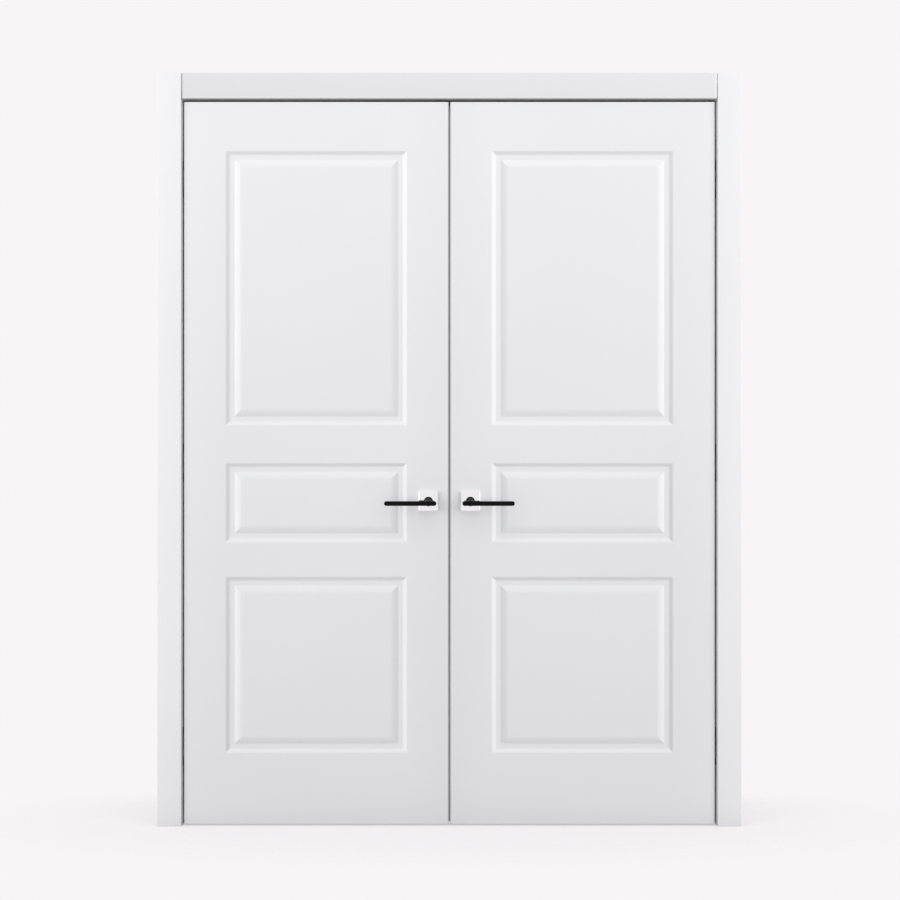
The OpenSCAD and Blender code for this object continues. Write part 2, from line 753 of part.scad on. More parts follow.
module latch_bolt() {
  nose_r = latch_t / 2;
  color(black) edge_place(latch_z) {
    translate([nose_r + arm_play, -latch_t / 2, -latch_h / 2])
      cube([latch_l - nose_r - arm_play, latch_t, latch_h]);
    translate([nose_r + arm_play, 0, -latch_h / 2]) cylinder(h = latch_h, r = nose_r);
  }
}

module latch_screws() {
  color(steel) edge_place(handle_z) plate_screw_places() screw_x(plate_screw_l, screw_r, screw_head_r);
}

// Keep in the passive leaf, for the latch

module keep_box_blank(play) {
  translate([plate_t, -case_t / 2 - play, -latch_h / 2 - keep_wall - play])
    cube([keep_d + play, case_t + 2 * play, latch_h + 2 * keep_wall + 2 * play]);
}

module keep_plate() {
  left() color(steel) difference() {
    edge_place(handle_z) stadium_x(plate_w, plate_h, plate_t);
    edge_place(latch_z) latch_hole(over);
    edge_place(handle_z) plate_screw_places() screw_hole_x(plate_screw_l, screw_r, screw_head_r);
  }
}

module keep_box() {
  left() color(grey) edge_place(latch_z) difference() {
    keep_box_blank(0);
    translate([plate_t - over, -latch_t / 2 - over, -latch_h / 2 - over])
      cube([keep_d - 2 * case_wall + over, latch_t + 2 * over, latch_h + 2 * over]);
  }
}

module keep_screws() {
  left() color(steel) edge_place(handle_z) plate_screw_places() screw_x(plate_screw_l, screw_r, screw_head_r);
}

// Flush bolts at the top and bottom of the passive leaf's meeting edge

module flush_bolt_mortise() {
  edge_place(bolt_top_z) {
    plate_mortise(bolt_plate_w, bolt_plate_h, plate_t, bolt_case_w, bolt_case_h, bolt_case_d);
    translate([rod_inset, 0, 0]) cylinder(h = bolt_inset + bolt_plate_h, r = rod_r + arm_play);
    bolt_screw_places() rotate([0, 90, 0]) cylinder(h = bolt_screw_l + seat_play, r = screw_r + run_play);
  }
}

module bolt_screw_places() { for (s = [-1, 1]) translate([0, 0, s * bolt_screw_z]) children(); }

// Room for the slide inside the case, from its lower end up
slide_z = -slide_l / 2;
slide_room = slide_l + bolt_travel + seat_play;

module flush_bolt_case() {
  color(steel) edge_place(bolt_top_z) difference() {
    union() {
      stadium_x(bolt_plate_w, bolt_plate_h, plate_t);
      translate([plate_t, -bolt_case_w / 2, -bolt_case_h / 2]) cube([bolt_case_d, bolt_case_w, bolt_case_h]);
    }
    translate([rod_inset - slide_d / 2 - seat_play, -slide_w / 2 - seat_play, slide_z - seat_play])
      cube([slide_d + 2 * seat_play, slide_w + 2 * seat_play, slide_room + seat_play]);
    translate([-over, -knob_w / 2 - seat_play, -knob_l / 2 - seat_play])
      cube([rod_inset, knob_w + 2 * seat_play, knob_l + bolt_travel + 2 * seat_play]);
    translate([rod_inset, 0, 0]) cylinder(h = bolt_plate_h, r = rod_r + run_play);
    bolt_screw_places() screw_hole_x(bolt_screw_l, screw_r, screw_head_r);
  }
}

module flush_bolt_slide() {
  color(steel) edge_place(bolt_top_z) {
    translate([rod_inset - slide_d / 2, -slide_w / 2, slide_z]) cube([slide_d, slide_w, slide_l]);
    translate([arm_play, -knob_w / 2, -knob_l / 2]) cube([rod_inset - arm_play, knob_w, knob_l]);
  }
}

module flush_bolt_rod() {
  rod_z = slide_z + slide_l;
  color(steel) edge_place(bolt_top_z) translate([rod_inset, 0, rod_z])
    cylinder(h = leaf_top - rod_tip_gap - bolt_top_z - rod_z, r = rod_r);
}

module flush_bolt_screw_pair() {
  edge_place(bolt_top_z) bolt_screw_places() screw_x(bolt_screw_l, screw_r, screw_head_r);
}

module top_bolt_case() { left() flush_bolt_case(); }
module top_bolt_slide() { left() flush_bolt_slide(); }
module top_bolt_rod() { left() flush_bolt_rod(); }
module bottom_bolt_case() { left() below() flush_bolt_case(); }
module bottom_bolt_slide() { left() below() flush_bolt_slide(); }
module bottom_bolt_rod() { left() below() flush_bolt_rod(); }
module flush_bolt_screws() {
  left() color(steel) {
    flush_bolt_screw_pair();
    below() flush_bolt_screw_pair();
  }
}

left_jamb();
right_jamb();
head_jamb();
front_casing_left();
front_casing_right();
front_casing_head();
back_casing_left();
back_casing_right();
back_casing_head();
left_seal();
right_seal();
head_seal();
left_frame_cups();
right_frame_cups();
frame_hinge_screws();
bolt_keeper();
keeper_screws();
corner_screws();
left_hinge_arms();
right_hinge_arms();
left_meeting_seal();
right_meeting_seal();
left_slab();
left_leaf_cups();
left_hinge_screws();
left_front_rose();
left_back_rose();
left_rose_bolts();
left_front_lever();
left_back_lever();
left_spindle();
keep_plate();
keep_box();
keep_screws();
top_bolt_case();
bottom_bolt_case();
flush_bolt_screws();
top_bolt_rod();
top_bolt_slide();
bottom_bolt_rod();
bottom_bolt_slide();
right_slab();
right_leaf_cups();
right_hinge_screws();
right_front_rose();
right_back_rose();
right_rose_bolts();
latch_case();
latch_plate();
latch_screws();
right_front_lever();
right_back_lever();
right_spindle();
latch_follower();
latch_bolt();
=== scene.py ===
"""Looks of a prehung double door: moulded leaves, frame and casings, hinges, levers and edge hardware."""
import json
import math

import bmesh
import bpy
from bpy.props import FloatProperty, FloatVectorProperty, PointerProperty
from mathutils import Matrix, Vector

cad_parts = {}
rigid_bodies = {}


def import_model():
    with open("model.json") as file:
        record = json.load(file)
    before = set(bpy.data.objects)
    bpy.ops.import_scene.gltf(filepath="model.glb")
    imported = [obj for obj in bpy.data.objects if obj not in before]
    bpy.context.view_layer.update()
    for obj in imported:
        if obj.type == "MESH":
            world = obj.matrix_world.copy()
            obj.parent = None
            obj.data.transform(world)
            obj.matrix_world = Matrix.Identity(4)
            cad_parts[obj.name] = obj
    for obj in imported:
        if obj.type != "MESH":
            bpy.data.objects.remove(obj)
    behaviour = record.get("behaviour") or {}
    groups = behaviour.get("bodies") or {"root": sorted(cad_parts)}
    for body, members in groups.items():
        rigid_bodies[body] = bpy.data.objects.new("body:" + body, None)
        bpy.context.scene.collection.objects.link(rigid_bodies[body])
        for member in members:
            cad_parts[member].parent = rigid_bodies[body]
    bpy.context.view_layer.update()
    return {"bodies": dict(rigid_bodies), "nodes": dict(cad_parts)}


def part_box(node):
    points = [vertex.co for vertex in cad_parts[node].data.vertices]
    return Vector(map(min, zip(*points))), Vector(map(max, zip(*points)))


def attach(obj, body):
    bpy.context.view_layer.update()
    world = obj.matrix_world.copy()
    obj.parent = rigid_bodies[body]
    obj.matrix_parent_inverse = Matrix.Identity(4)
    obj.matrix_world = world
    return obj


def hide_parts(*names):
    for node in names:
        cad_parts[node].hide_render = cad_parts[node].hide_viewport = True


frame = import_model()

bl_info = {
    "name": "Prehung Double Door",
    "version": (1, 0, 0),
    "blender": (4, 5, 0),
    "location": "View3D > Sidebar > Double Door",
    "description": "Builds the leaves, frame, hinges, handles and edge hardware of a double door",
    "category": "Add Mesh",
}

SLAB_LOW, SLAB_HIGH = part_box("right_slab")
JAMB_LOW, JAMB_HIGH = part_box("right_jamb")
ROSE_LOW, ROSE_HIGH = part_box("right_front_rose")
LEVER_LOW, LEVER_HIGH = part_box("right_front_lever")

# Places that the solids fix, in metres
SIDE_GAP, TOP_GAP = 0.004, 0.006
FRONT_Y, BACK_Y = SLAB_LOW[1], SLAB_HIGH[1]
MID_Y = (FRONT_Y + BACK_Y) / 2
EDGE_X, HINGE_EDGE_X = SLAB_LOW[0], SLAB_HIGH[0]
LEAF_LOW_Z, LEAF_TOP_Z = SLAB_LOW[2], SLAB_HIGH[2]
HINGE_ZS = (0.22, 1.02, 1.82)
JAMB_X = HINGE_EDGE_X + SIDE_GAP
HEAD_Z = LEAF_TOP_Z + TOP_GAP
CUP_Y = FRONT_Y + 0.018
HANDLE_X = (ROSE_LOW[0] + ROSE_HIGH[0]) / 2
HANDLE_Z = (ROSE_LOW[2] + ROSE_HIGH[2]) / 2
LATCH_Z = HANDLE_Z + 0.04
PLATE_H, PLATE_W, PLATE_T = 0.19, 0.02, 0.003
BOLT_Z = LEAF_TOP_Z - 0.06 - PLATE_H / 2
LOW_BOLT_Z = LEAF_LOW_Z + LEAF_TOP_Z - BOLT_Z
ROD_X = EDGE_X + 0.017

# Mortises, with the play of what sits in them, and how far their cutters pass a leaf's edge and ends
SEAT = 0.0001
CUP_MORTISE_W, CUP_MORTISE_H, CUP_MORTISE_D = 0.0242, 0.1102, 0.0212
CASE_W = 0.0162
LATCH_CASE_H, LATCH_CASE_D = 0.1502, 0.0832
KEEP_BOX_H, KEEP_BOX_D = 0.0362, 0.0192
BOLT_CASE_H, BOLT_CASE_D = 0.1402, 0.0261
ROD_HOLE_R, ROD_HOLE_UP = 0.0043, 0.06
GROOVE_LOW_Y, GROOVE_HIGH_Y, GROOVE_D = BACK_Y - 0.0056, BACK_Y - 0.0024, 0.0061
PAST_EDGE, PAST_END = 0.002, 0.01

# Frame: the casings' set-back from the jambs' inner faces, and the eased edges
REVEAL = 0.002
JAMB_ARRIS_D, HEAD_ARRIS_D, PAST_ARRIS = 0.0055, 0.01, 0.001
CASING_R, CASING_END_R, HEAD_END_R = 0.0015, 0.0005, 0.006

# Leaves: the tight crease at the foot of the moulding's rise, the rise's curve, and the top edge's band,
# coloured a dark raw-fibreboard brown as painted shade that darkens the gap above the leaf
MOULD_CREASE, RISE_POWER, TOP_SHADE_BAND = 0.0006, 1.7, 0.0004

# Lever: the neck's end in the rose, its steps, and pairs of distance and depth for its groove and collar edge
NECK_SEAT, NECK_STEP, NECK_PROUD = 0.004, 0.003, 0.0014
NECK_GROOVE = ((0.0008, 0.0), (0.0012, 0.0006), (0.0022, 0.0006), (0.0026, 0.0))
COLLAR_EDGE = ((0.001, 0.0), (0.0003, 0.0003), (0.0, 0.001))
BACK_EDGE_SHARE = 0.6

# Easing of the fittings' edges
PLATE_EASE, KEEPER_EASE, SLIDE_EASE, ROD_EASE = 0.0003, 0.0002, 0.0006, 0.0008

# Screws: head and shank radius, lengths, distances from the middle of what they hold, the sides of the round
# forms, the share of the head above the shank's start, and the recess's two bars in head radii
SCREW, CORNER_SCREW = (0.00375, 0.002), (0.0049, 0.0025)
HINGE_SCREW_L, PLATE_SCREW_L, BOLT_SCREW_L, CORNER_SCREW_L = 0.03, 0.018, 0.009, 0.07
HINGE_SCREW_OFF, PLATE_SCREW_OFF, KEEPER_SCREW_OFF, CORNER_SCREW_UP = 0.043, 0.085, 0.02, 0.018
HEAD_SIDES, SHANK_SIDES, SHANK_START = 28, 16, 0.99
RECESS_BARS = ((1.15, 0.24, 0.62), (0.24, 1.15, 0.58))

# Finishes: the part of a noise that is used, the plastic parts' colours, and how little the levers mirror
NOISE_LOW, NOISE_HIGH = 0.3, 0.7
KEEP_GREY, NYLON_BLACK = (0.09, 0.09, 0.095), (0.02, 0.02, 0.021)
LEVER_SPECULAR = 0.08

# Meshes: merging distance, the angles past which an edge stays crisp, what counts as flat or as a corner,
# and the most sides of a hole that is closed
MERGE = 1e-6
SHARP_DEG, EASED_SHARP_DEG = 32.0, 20.0
FLAT_DEG, CORNER_DEG = 0.5, 35.0
HOLE_SIDES = 8

# Stage: each soft light's place, target, width and height, the way to the side lights, and the floor's fade
CAMERA_X = 0.0017
TOP_LIGHT = (0.0, -1.7, 3.3), (0.0, 0.0, 1.2), 2.2, 0.8
LOW_LIGHT = (0.0, -2.4, 0.2), (0.0, 0.0, 0.4), 2.4, 0.4
SIDE_WAY = (1.9, -1.6, 0.35)
SIDE_SPREAD = math.radians(40)
FLOOR_Z, FLOOR_HALF = -0.0005, 3.0
FLOOR_GLOW, FLOOR_BOUNCE, FLOOR_ROUGH = 0.5, 0.42, 0.9
FLOOR_SQUEEZE, FADE_NEAR, FADE_FAR = (0.9, 2.6, 1.0), 0.7, 1.5


# Settings that a user would change

def length_setting(name, description, default):
    """A length in metres"""
    return FloatProperty(name=name, description=description, default=default,
                         subtype="DISTANCE", unit="LENGTH")


def colour_setting(name, description, default):
    """A colour"""
    return FloatVectorProperty(name=name, description=description, default=default,
                               subtype="COLOR", min=0, max=1)


class LeafSizes(bpy.types.PropertyGroup):
    """Sizes of the moulded leaves"""
    stile_w: length_setting("Stile Width", "Width of the upright stiles", 0.116)
    bottom_rail_h: length_setting("Bottom Rail", "Height of the bottom rail", 0.198)
    lower_panel_h: length_setting("Lower Panel", "Height of the lower panel", 0.498)
    mid_rail_h: length_setting("Middle Rail", "Height of the rail above the lower panel", 0.094)
    middle_panel_h: length_setting("Middle Panel", "Height of the middle panel", 0.226)
    lock_rail_h: length_setting("Lock Rail", "Height of the rail below the upper panel", 0.103)
    upper_panel_h: length_setting("Upper Panel", "Height of the upper panel", 0.775)
    ogee_w: length_setting("Ogee Width", "Width of the moulding's outer curve", 0.014)
    flat_w: length_setting("Flat Width", "Width of the sunk flat in the moulding", 0.012)
    bevel_w: length_setting("Bevel Width", "Width of the rise to the panel's field", 0.022)
    mould_d: length_setting("Moulding Depth", "Depth of the moulding", 0.0065)
    edge_r: length_setting("Edge Radius", "Radius of a leaf's eased edges", 0.004)


class HandleSizes(bpy.types.PropertyGroup):
    """Sizes of the levers and roses"""
    rose_r: length_setting("Rose Corner", "Corner radius of the square rose", 0.003)
    rose_edge: length_setting("Rose Edge", "Radius of the rose's polished front edge", 0.0012)
    neck_r: length_setting("Neck Radius", "Radius of the lever's neck", 0.013)
    bar_h: length_setting("Bar Height", "Height of the lever's bar", 0.013)
    bar_d: length_setting("Bar Depth", "Depth of the lever's bar", 0.012)
    bar_drop: length_setting("Bar Drop", "How far the bar hangs below the spindle's axis", 0.005)
    collar_l: length_setting("Collar Length", "Length of the round collar on the rose", 0.012)
    bar_edge: length_setting("Bar Edge", "Radius of the bar's long edges", 0.0018)


class Finishes(bpy.types.PropertyGroup):
    """Colours of the door's finishes"""
    paint: colour_setting("White Paint", "Satin paint of the leaves and frame", (0.83, 0.83, 0.845))
    chrome: colour_setting("Chrome", "Polished chrome of the roses", (0.9, 0.9, 0.91))
    lever: colour_setting("Black Lever", "Satin black of the levers", (0.003, 0.003, 0.003))
    zinc: colour_setting("Hinge Zinc", "Dark plated zinc of the hinges", (0.1, 0.1, 0.103))
    steel: colour_setting("Plate Steel", "Brushed steel of the edge plates", (0.6, 0.59, 0.57))
    # Dark raw-fibreboard brown on the leaves' top edge, used as painted shade so the gap above the leaves
    # reads dark
    top_edge_shade: colour_setting("Top Edge Shade", "Raw fibreboard of the leaves' top edge", (0.2, 0.15, 0.105))
    rubber: colour_setting("Seal Rubber", "Rubber of the seals", (0.06, 0.06, 0.062))


class StageSettings(bpy.types.PropertyGroup):
    """Camera and light"""
    view_w: length_setting("View Width", "Width of the view at the leaves' face", 2.531)
    camera_away: length_setting("Camera Distance", "Distance from the camera to the leaves' face", 4.8)
    camera_z: length_setting("Camera Height", "Height of the camera above the floor", 1.056)
    fill: FloatProperty(name="Fill Light", description="Strength of the even light from all round",
                        default=0.79)
    top_power: FloatProperty(name="Top Light", description="Power of the soft light above",
                             default=6.0, unit="POWER")
    low_power: FloatProperty(name="Low Light", description="Power of the soft light on the front casings",
                             default=6.0, unit="POWER")
    side_strength: FloatProperty(name="Side Lights", description="Strength of the even light from each side",
                                 default=1.13)
    backdrop: colour_setting("Backdrop", "Colour that the camera sees behind the door", (0.93, 0.913, 0.922))


# Mesh helpers

def add_object(name, data):
    """A new object with this data, put in the scene"""
    obj = bpy.data.objects.new(name, data)
    bpy.context.scene.collection.objects.link(obj)
    return obj


def object_from(name, bm, sharp_deg=SHARP_DEG):
    """Closes a mesh into an object: doubles merged, faces outwards, edges past sharp_deg kept crisp"""
    bmesh.ops.remove_doubles(bm, verts=bm.verts, dist=MERGE)
    bmesh.ops.recalc_face_normals(bm, faces=bm.faces)
    crisp(bm, sharp_deg)
    mesh = bpy.data.meshes.new(name)
    bm.to_mesh(mesh)
    bm.free()
    return add_object(name, mesh)


def crisp(bm, sharp_deg):
    """Smooth faces, with sharp edges where the surface turns and along the mitres"""
    limit = math.radians(sharp_deg)
    for face in bm.faces:
        face.smooth = True
    for edge in bm.edges:
        shallow = len(edge.link_faces) == 2 and edge.calc_face_angle(math.pi) < limit
        edge.smooth = shallow and not is_mitre(edge)


def is_mitre(edge):
    """True for an edge on the 45 degree line between two runs of moulding"""
    run = edge.verts[0].co - edge.verts[1].co
    return abs(run.x) > 1e-6 and abs(abs(run.x) - abs(run.z)) < 1e-7


def quad(bm, *points):
    """One face through these points"""
    return bm.faces.new([bm.verts.new(p) for p in points])


def loft(bm, rings, close_ends=True):
    """Skins closed rings of equally many points, with a face over each end"""
    rows = [[bm.verts.new(p) for p in ring] for ring in rings]
    count = len(rows[0])
    for a, b in zip(rows, rows[1:]):
        for i in range(count):
            j = (i + 1) % count
            bm.faces.new((a[i], a[j], b[j], b[i]))
    if close_ends:
        bm.faces.new(rows[0][::-1])
        bm.faces.new(rows[-1])


def arc(cx, cy, r, from_deg, to_deg, steps):
    """Points of an arc in the plane"""
    angles = [math.radians(from_deg + (to_deg - from_deg) * i / steps) for i in range(steps + 1)]
    return [(cx + r * math.cos(a), cy + r * math.sin(a)) for a in angles]


def circle(cx, cy, r, count):
    """Points of a full circle"""
    return arc(cx, cy, r, 0, 360 - 360 / count, count - 1)


def round_box_outline(w, h, r, steps=8):
    """Rectangle about the origin with round corners"""
    x, y = w / 2 - r, h / 2 - r
    corners = ((x, y, 0), (-x, y, 90), (-x, -y, 180), (x, -y, 270))
    return [p for cx, cy, start in corners for p in arc(cx, cy, r, start, start + 90, steps)]


def stadium_outline(w, h, steps=16):
    """Upright stadium about the origin: round ends at the top and bottom"""
    r = w / 2
    return arc(0, h / 2 - r, r, 0, 180, steps) + arc(0, r - h / 2, r, 180, 360, steps)


def inset(points, d):
    """The outline moved in by d, each point along its own normal"""
    count = len(points)
    moved = []
    for i, (x, y) in enumerate(points):
        (ax, ay), (bx, by) = points[i - 1], points[(i + 1) % count]
        tx, ty = bx - ax, by - ay
        size = math.hypot(tx, ty)
        moved.append((x - ty / size * d, y + tx / size * d))
    return moved


def edge_steps(r, steps=5):
    """Pairs of inset and depth round an eased edge, from the face to the side"""
    return [(r * (1 - math.sin(math.radians(a))), r * (1 - math.cos(math.radians(a))))
            for a in (90 * i / steps for i in range(steps + 1))]


def eased_plate(bm, outline, place, depth, r, back_r=0.0):
    """Plate with this outline and an eased front edge; place turns (u, v, depth) into a point"""
    rings = [[place(u, v, w) for u, v in inset(outline, d)] for d, w in edge_steps(r)]
    if back_r:
        rings += [[place(u, v, depth - w) for u, v in inset(outline, d)]
                  for d, w in reversed(edge_steps(back_r))]
    else:
        rings.append([place(u, v, depth) for u, v in outline])
    loft(bm, rings)


def cut(obj, cutters):
    """Cuts the cutters out of obj and deletes them"""
    for cutter in cutters:
        modifier = obj.modifiers.new("Cut", "BOOLEAN")
        modifier.operation = "DIFFERENCE"
        modifier.solver = "EXACT"
        modifier.object = cutter
    settle(obj)
    for cutter in cutters:
        discard(cutter)


def discard(obj):
    """Deletes an object and its mesh"""
    mesh = obj.data
    bpy.data.objects.remove(obj)
    bpy.data.meshes.remove(mesh)


def settle(obj):
    """Turns the modifiers of obj into plain mesh"""
    bpy.context.view_layer.update()
    evaluated = obj.evaluated_get(bpy.context.evaluated_depsgraph_get())
    mesh = bpy.data.meshes.new_from_object(evaluated)
    old = obj.data
    obj.modifiers.clear()
    obj.data = mesh
    mesh.name = obj.name
    bpy.data.meshes.remove(old)


def recrisp(obj):
    """Closes what a cut left open, and marks smooth faces and sharp edges again"""
    bm = bmesh.new()
    bm.from_mesh(obj.data)
    bmesh.ops.dissolve_degenerate(bm, dist=MERGE, edges=bm.edges)
    bmesh.ops.holes_fill(bm, edges=[e for e in bm.edges if e.is_boundary], sides=HOLE_SIDES)
    bmesh.ops.recalc_face_normals(bm, faces=bm.faces)
    crisp(bm, SHARP_DEG)
    bm.to_mesh(obj.data)
    bm.free()


def mirrored(obj, name):
    """A copy of obj on the other side of the doorway, turned right side out"""
    mesh = obj.data.copy()
    mesh.name = name
    mesh.transform(Matrix.Scale(-1, 4, Vector((1, 0, 0))))
    mesh.flip_normals()
    return add_object(name, mesh)


def hand_over(obj, body, slot, *nodes, finish=None):
    """Gives a finished piece its body, its slot and finish, and the solids that it stands for"""
    obj.data.materials.clear()
    obj.data.materials.append(finish_of(finish or slot))
    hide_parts(*nodes)
    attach(obj, body)


def solid_copy(node, name):
    """A copy of a solid's mesh, its doubles merged"""
    bm = bmesh.new()
    bm.from_mesh(frame["nodes"][node].data)
    return object_from(name, bm)


def eased_copy(node, r, clamp=False):
    """A copy of a solid's mesh whose outer edges are eased by r"""
    bm = bmesh.new()
    bm.from_mesh(frame["nodes"][node].data)
    bmesh.ops.remove_doubles(bm, verts=bm.verts, dist=MERGE)
    bmesh.ops.dissolve_limit(bm, angle_limit=math.radians(FLAT_DEG), verts=bm.verts, edges=bm.edges)
    edges = [edge for edge in bm.edges if edge.calc_face_angle_signed(0.0) > math.radians(CORNER_DEG)]
    bmesh.ops.bevel(bm, geom=edges, offset=r, offset_type="OFFSET", segments=2, profile=0.5, affect="EDGES",
                    clamp_overlap=clamp)
    return object_from(node + "_eased", bm, EASED_SHARP_DEG)


def box_cutter(low, high):
    """A plain box to cut with"""
    bm = bmesh.new()
    bmesh.ops.create_cube(bm, size=1.0)
    for vert in bm.verts:
        vert.co = [low[i] if vert.co[i] < 0 else high[i] for i in range(3)]
    return object_from("cutter", bm)


def bar_cutter(rings):
    """A bar to cut with, skinned over the rings of its two ends"""
    bm = bmesh.new()
    loft(bm, rings)
    return object_from("cutter", bm)


def stadium_cutter(x0, x1, y, z, w, h):
    """An upright stadium to cut with, from x0 to x1"""
    return bar_cutter([[(x, y + v, z + u) for v, u in stadium_outline(w, h)] for x in (x0, x1)])


def rod_cutter(x, y, z0, z1, r):
    """An upright round bar to cut with"""
    return bar_cutter([[(a, b, z) for a, b in circle(x, y, r, 24)] for z in (z0, z1)])


# Node helpers

def set_inputs(tree, node, inputs):
    """Gives a node's inputs their values, or a link where a socket is given"""
    for name, value in inputs.items():
        if isinstance(value, bpy.types.NodeSocket):
            tree.links.new(value, node.inputs[name])
        else:
            node.inputs[name].default_value = value


def add_node(tree, kind, inputs, **settings):
    """A new node with these settings and inputs"""
    node = tree.nodes.new(kind)
    for name, value in settings.items():
        setattr(node, name, value)
    set_inputs(tree, node, inputs)
    return node


# Finishes

def start_material(name, colour, roughness, metallic=0.0):
    """A material with its shader and its Object coordinates"""
    material = bpy.data.materials.new(name)
    material.use_nodes = True
    tree = material.node_tree
    shader = tree.nodes["Principled BSDF"]
    set_inputs(tree, shader, {"Base Color": (*colour, 1.0), "Roughness": roughness, "Metallic": metallic})
    coords = tree.nodes.new("ShaderNodeTexCoord")
    return material, tree, shader, coords.outputs["Object"]


def noise(tree, coords, scale, detail=3.0, stretch=(1.0, 1.0, 1.0)):
    """Noise on the object's own coordinates, stretched along its axes"""
    mapping = add_node(tree, "ShaderNodeMapping", {"Vector": coords, "Scale": stretch})
    node = add_node(tree, "ShaderNodeTexNoise",
                    {"Vector": mapping.outputs["Vector"], "Scale": scale, "Detail": detail})
    return node.outputs["Fac"]


def vary_roughness(tree, value, low, high, shader):
    """Lets a noise value move the roughness between low and high"""
    spread = {"From Min": NOISE_LOW, "From Max": NOISE_HIGH, "To Min": low, "To Max": high}
    node = add_node(tree, "ShaderNodeMapRange", {"Value": value, **spread})
    tree.links.new(node.outputs["Result"], shader.inputs["Roughness"])


def vary_colour(tree, value, colour, dark, light, shader):
    """Lets a noise value move the colour between a darker and a lighter shade"""
    ramp = tree.nodes.new("ShaderNodeValToRGB")
    for stop, position, factor in zip(ramp.color_ramp.elements, (NOISE_LOW, NOISE_HIGH), (dark, light)):
        stop.position = position
        stop.color = (*shade(colour, factor), 1.0)
    tree.links.new(value, ramp.inputs["Fac"])
    tree.links.new(ramp.outputs["Color"], shader.inputs["Base Color"])


def bump(tree, value, shader, strength, distance):
    """Lets a noise value raise the surface"""
    node = add_node(tree, "ShaderNodeBump", {"Height": value, "Strength": strength, "Distance": distance})
    tree.links.new(node.outputs["Normal"], shader.inputs["Normal"])


def shade(colour, factor):
    """A colour made lighter or darker"""
    return tuple(min(1.0, c * factor) for c in colour)


def satin_paint(name="white_paint"):
    """Sprayed satin paint: a fine orange peel, faint cloudiness and a soft sheen"""
    colour = bpy.context.scene.door_finishes.paint
    material, tree, shader, coords = start_material(name, colour, 0.42)
    vary_colour(tree, noise(tree, coords, 2.2), colour, 0.992, 1.008, shader)
    vary_roughness(tree, noise(tree, coords, 14.0), 0.38, 0.46, shader)
    bump(tree, noise(tree, coords, 420.0, 2.0), shader, 0.05, 0.0004)
    return material


def leaf_paint_top_shade():
    """The same paint on a leaf, with its top edge in a dark raw-fibreboard brown: painted shade that darkens
    the gap above the leaf
    """
    material = satin_paint("leaf_paint_top_shade")
    tree = material.node_tree
    base = tree.nodes["Principled BSDF"].inputs["Base Color"]
    place = tree.nodes.new("ShaderNodeTexCoord")
    split = add_node(tree, "ShaderNodeSeparateXYZ", {0: place.outputs["Object"]})
    # Painted shade: everything above this line on the leaf's top edge gets the dark brown, darkening the gap
    # under the head
    above = add_node(tree, "ShaderNodeMath", {0: split.outputs["Z"], 1: LEAF_TOP_Z - TOP_SHADE_BAND},
                     operation="GREATER_THAN")
    top_shade = (*bpy.context.scene.door_finishes.top_edge_shade, 1.0)
    mix = add_node(tree, "ShaderNodeMix",
                   {"Factor": above.outputs[0], "A": base.links[0].from_socket, "B": top_shade}, data_type="RGBA")
    tree.links.new(mix.outputs["Result"], base)
    return material


def polished_chrome():
    """Mirror chrome with a trace of wiping haze"""
    colour = bpy.context.scene.door_finishes.chrome
    material, tree, shader, coords = start_material("polished_chrome", colour, 0.06, 1.0)
    vary_roughness(tree, noise(tree, coords, 60.0), 0.035, 0.075, shader)
    return material


def satin_black():
    """Satin black powder coat with a fine grain"""
    colour = bpy.context.scene.door_finishes.lever
    material, tree, shader, coords = start_material("black_lever", colour, 0.4)
    set_inputs(tree, shader, {"Specular IOR Level": LEVER_SPECULAR})
    vary_colour(tree, noise(tree, coords, 90.0), colour, 0.85, 1.2, shader)
    vary_roughness(tree, noise(tree, coords, 160.0), 0.3, 0.42, shader)
    bump(tree, noise(tree, coords, 2600.0, 2.0), shader, 0.12, 0.0001)
    return material


def cast_zinc():
    """Dark plated zinc with a faint casting grain"""
    colour = bpy.context.scene.door_finishes.zinc
    material, tree, shader, coords = start_material("hinge_zinc", colour, 0.36, 1.0)
    vary_colour(tree, noise(tree, coords, 140.0), colour, 0.93, 1.05, shader)
    vary_roughness(tree, noise(tree, coords, 380.0), 0.3, 0.42, shader)
    bump(tree, noise(tree, coords, 1500.0, 2.0), shader, 0.06, 0.0001)
    return material


def brushed_steel(name, colour, low=0.24, high=0.4):
    """Steel brushed along its length"""
    material, tree, shader, coords = start_material(name, colour, 0.32, 1.0)
    lines = noise(tree, coords, 900.0, 2.0, (1.0, 1.0, 0.02))
    vary_colour(tree, lines, colour, 0.88, 1.06, shader)
    vary_roughness(tree, lines, low, high, shader)
    bump(tree, lines, shader, 0.05, 0.0001)
    return material


def matt_rubber():
    """Extruded rubber with a dusty surface"""
    colour = bpy.context.scene.door_finishes.rubber
    material, tree, shader, coords = start_material("seal_rubber", colour, 0.75)
    vary_colour(tree, noise(tree, coords, 45.0), colour, 0.85, 1.15, shader)
    bump(tree, noise(tree, coords, 1800.0, 2.0), shader, 0.1, 0.0001)
    return material


def moulded_plastic(name, colour, roughness):
    """Moulded plastic with a fine spark-eroded grain"""
    material, tree, shader, coords = start_material(name, colour, roughness)
    vary_colour(tree, noise(tree, coords, 110.0), colour, 0.92, 1.08, shader)
    bump(tree, noise(tree, coords, 2200.0, 2.0), shader, 0.1, 0.0001)
    return material


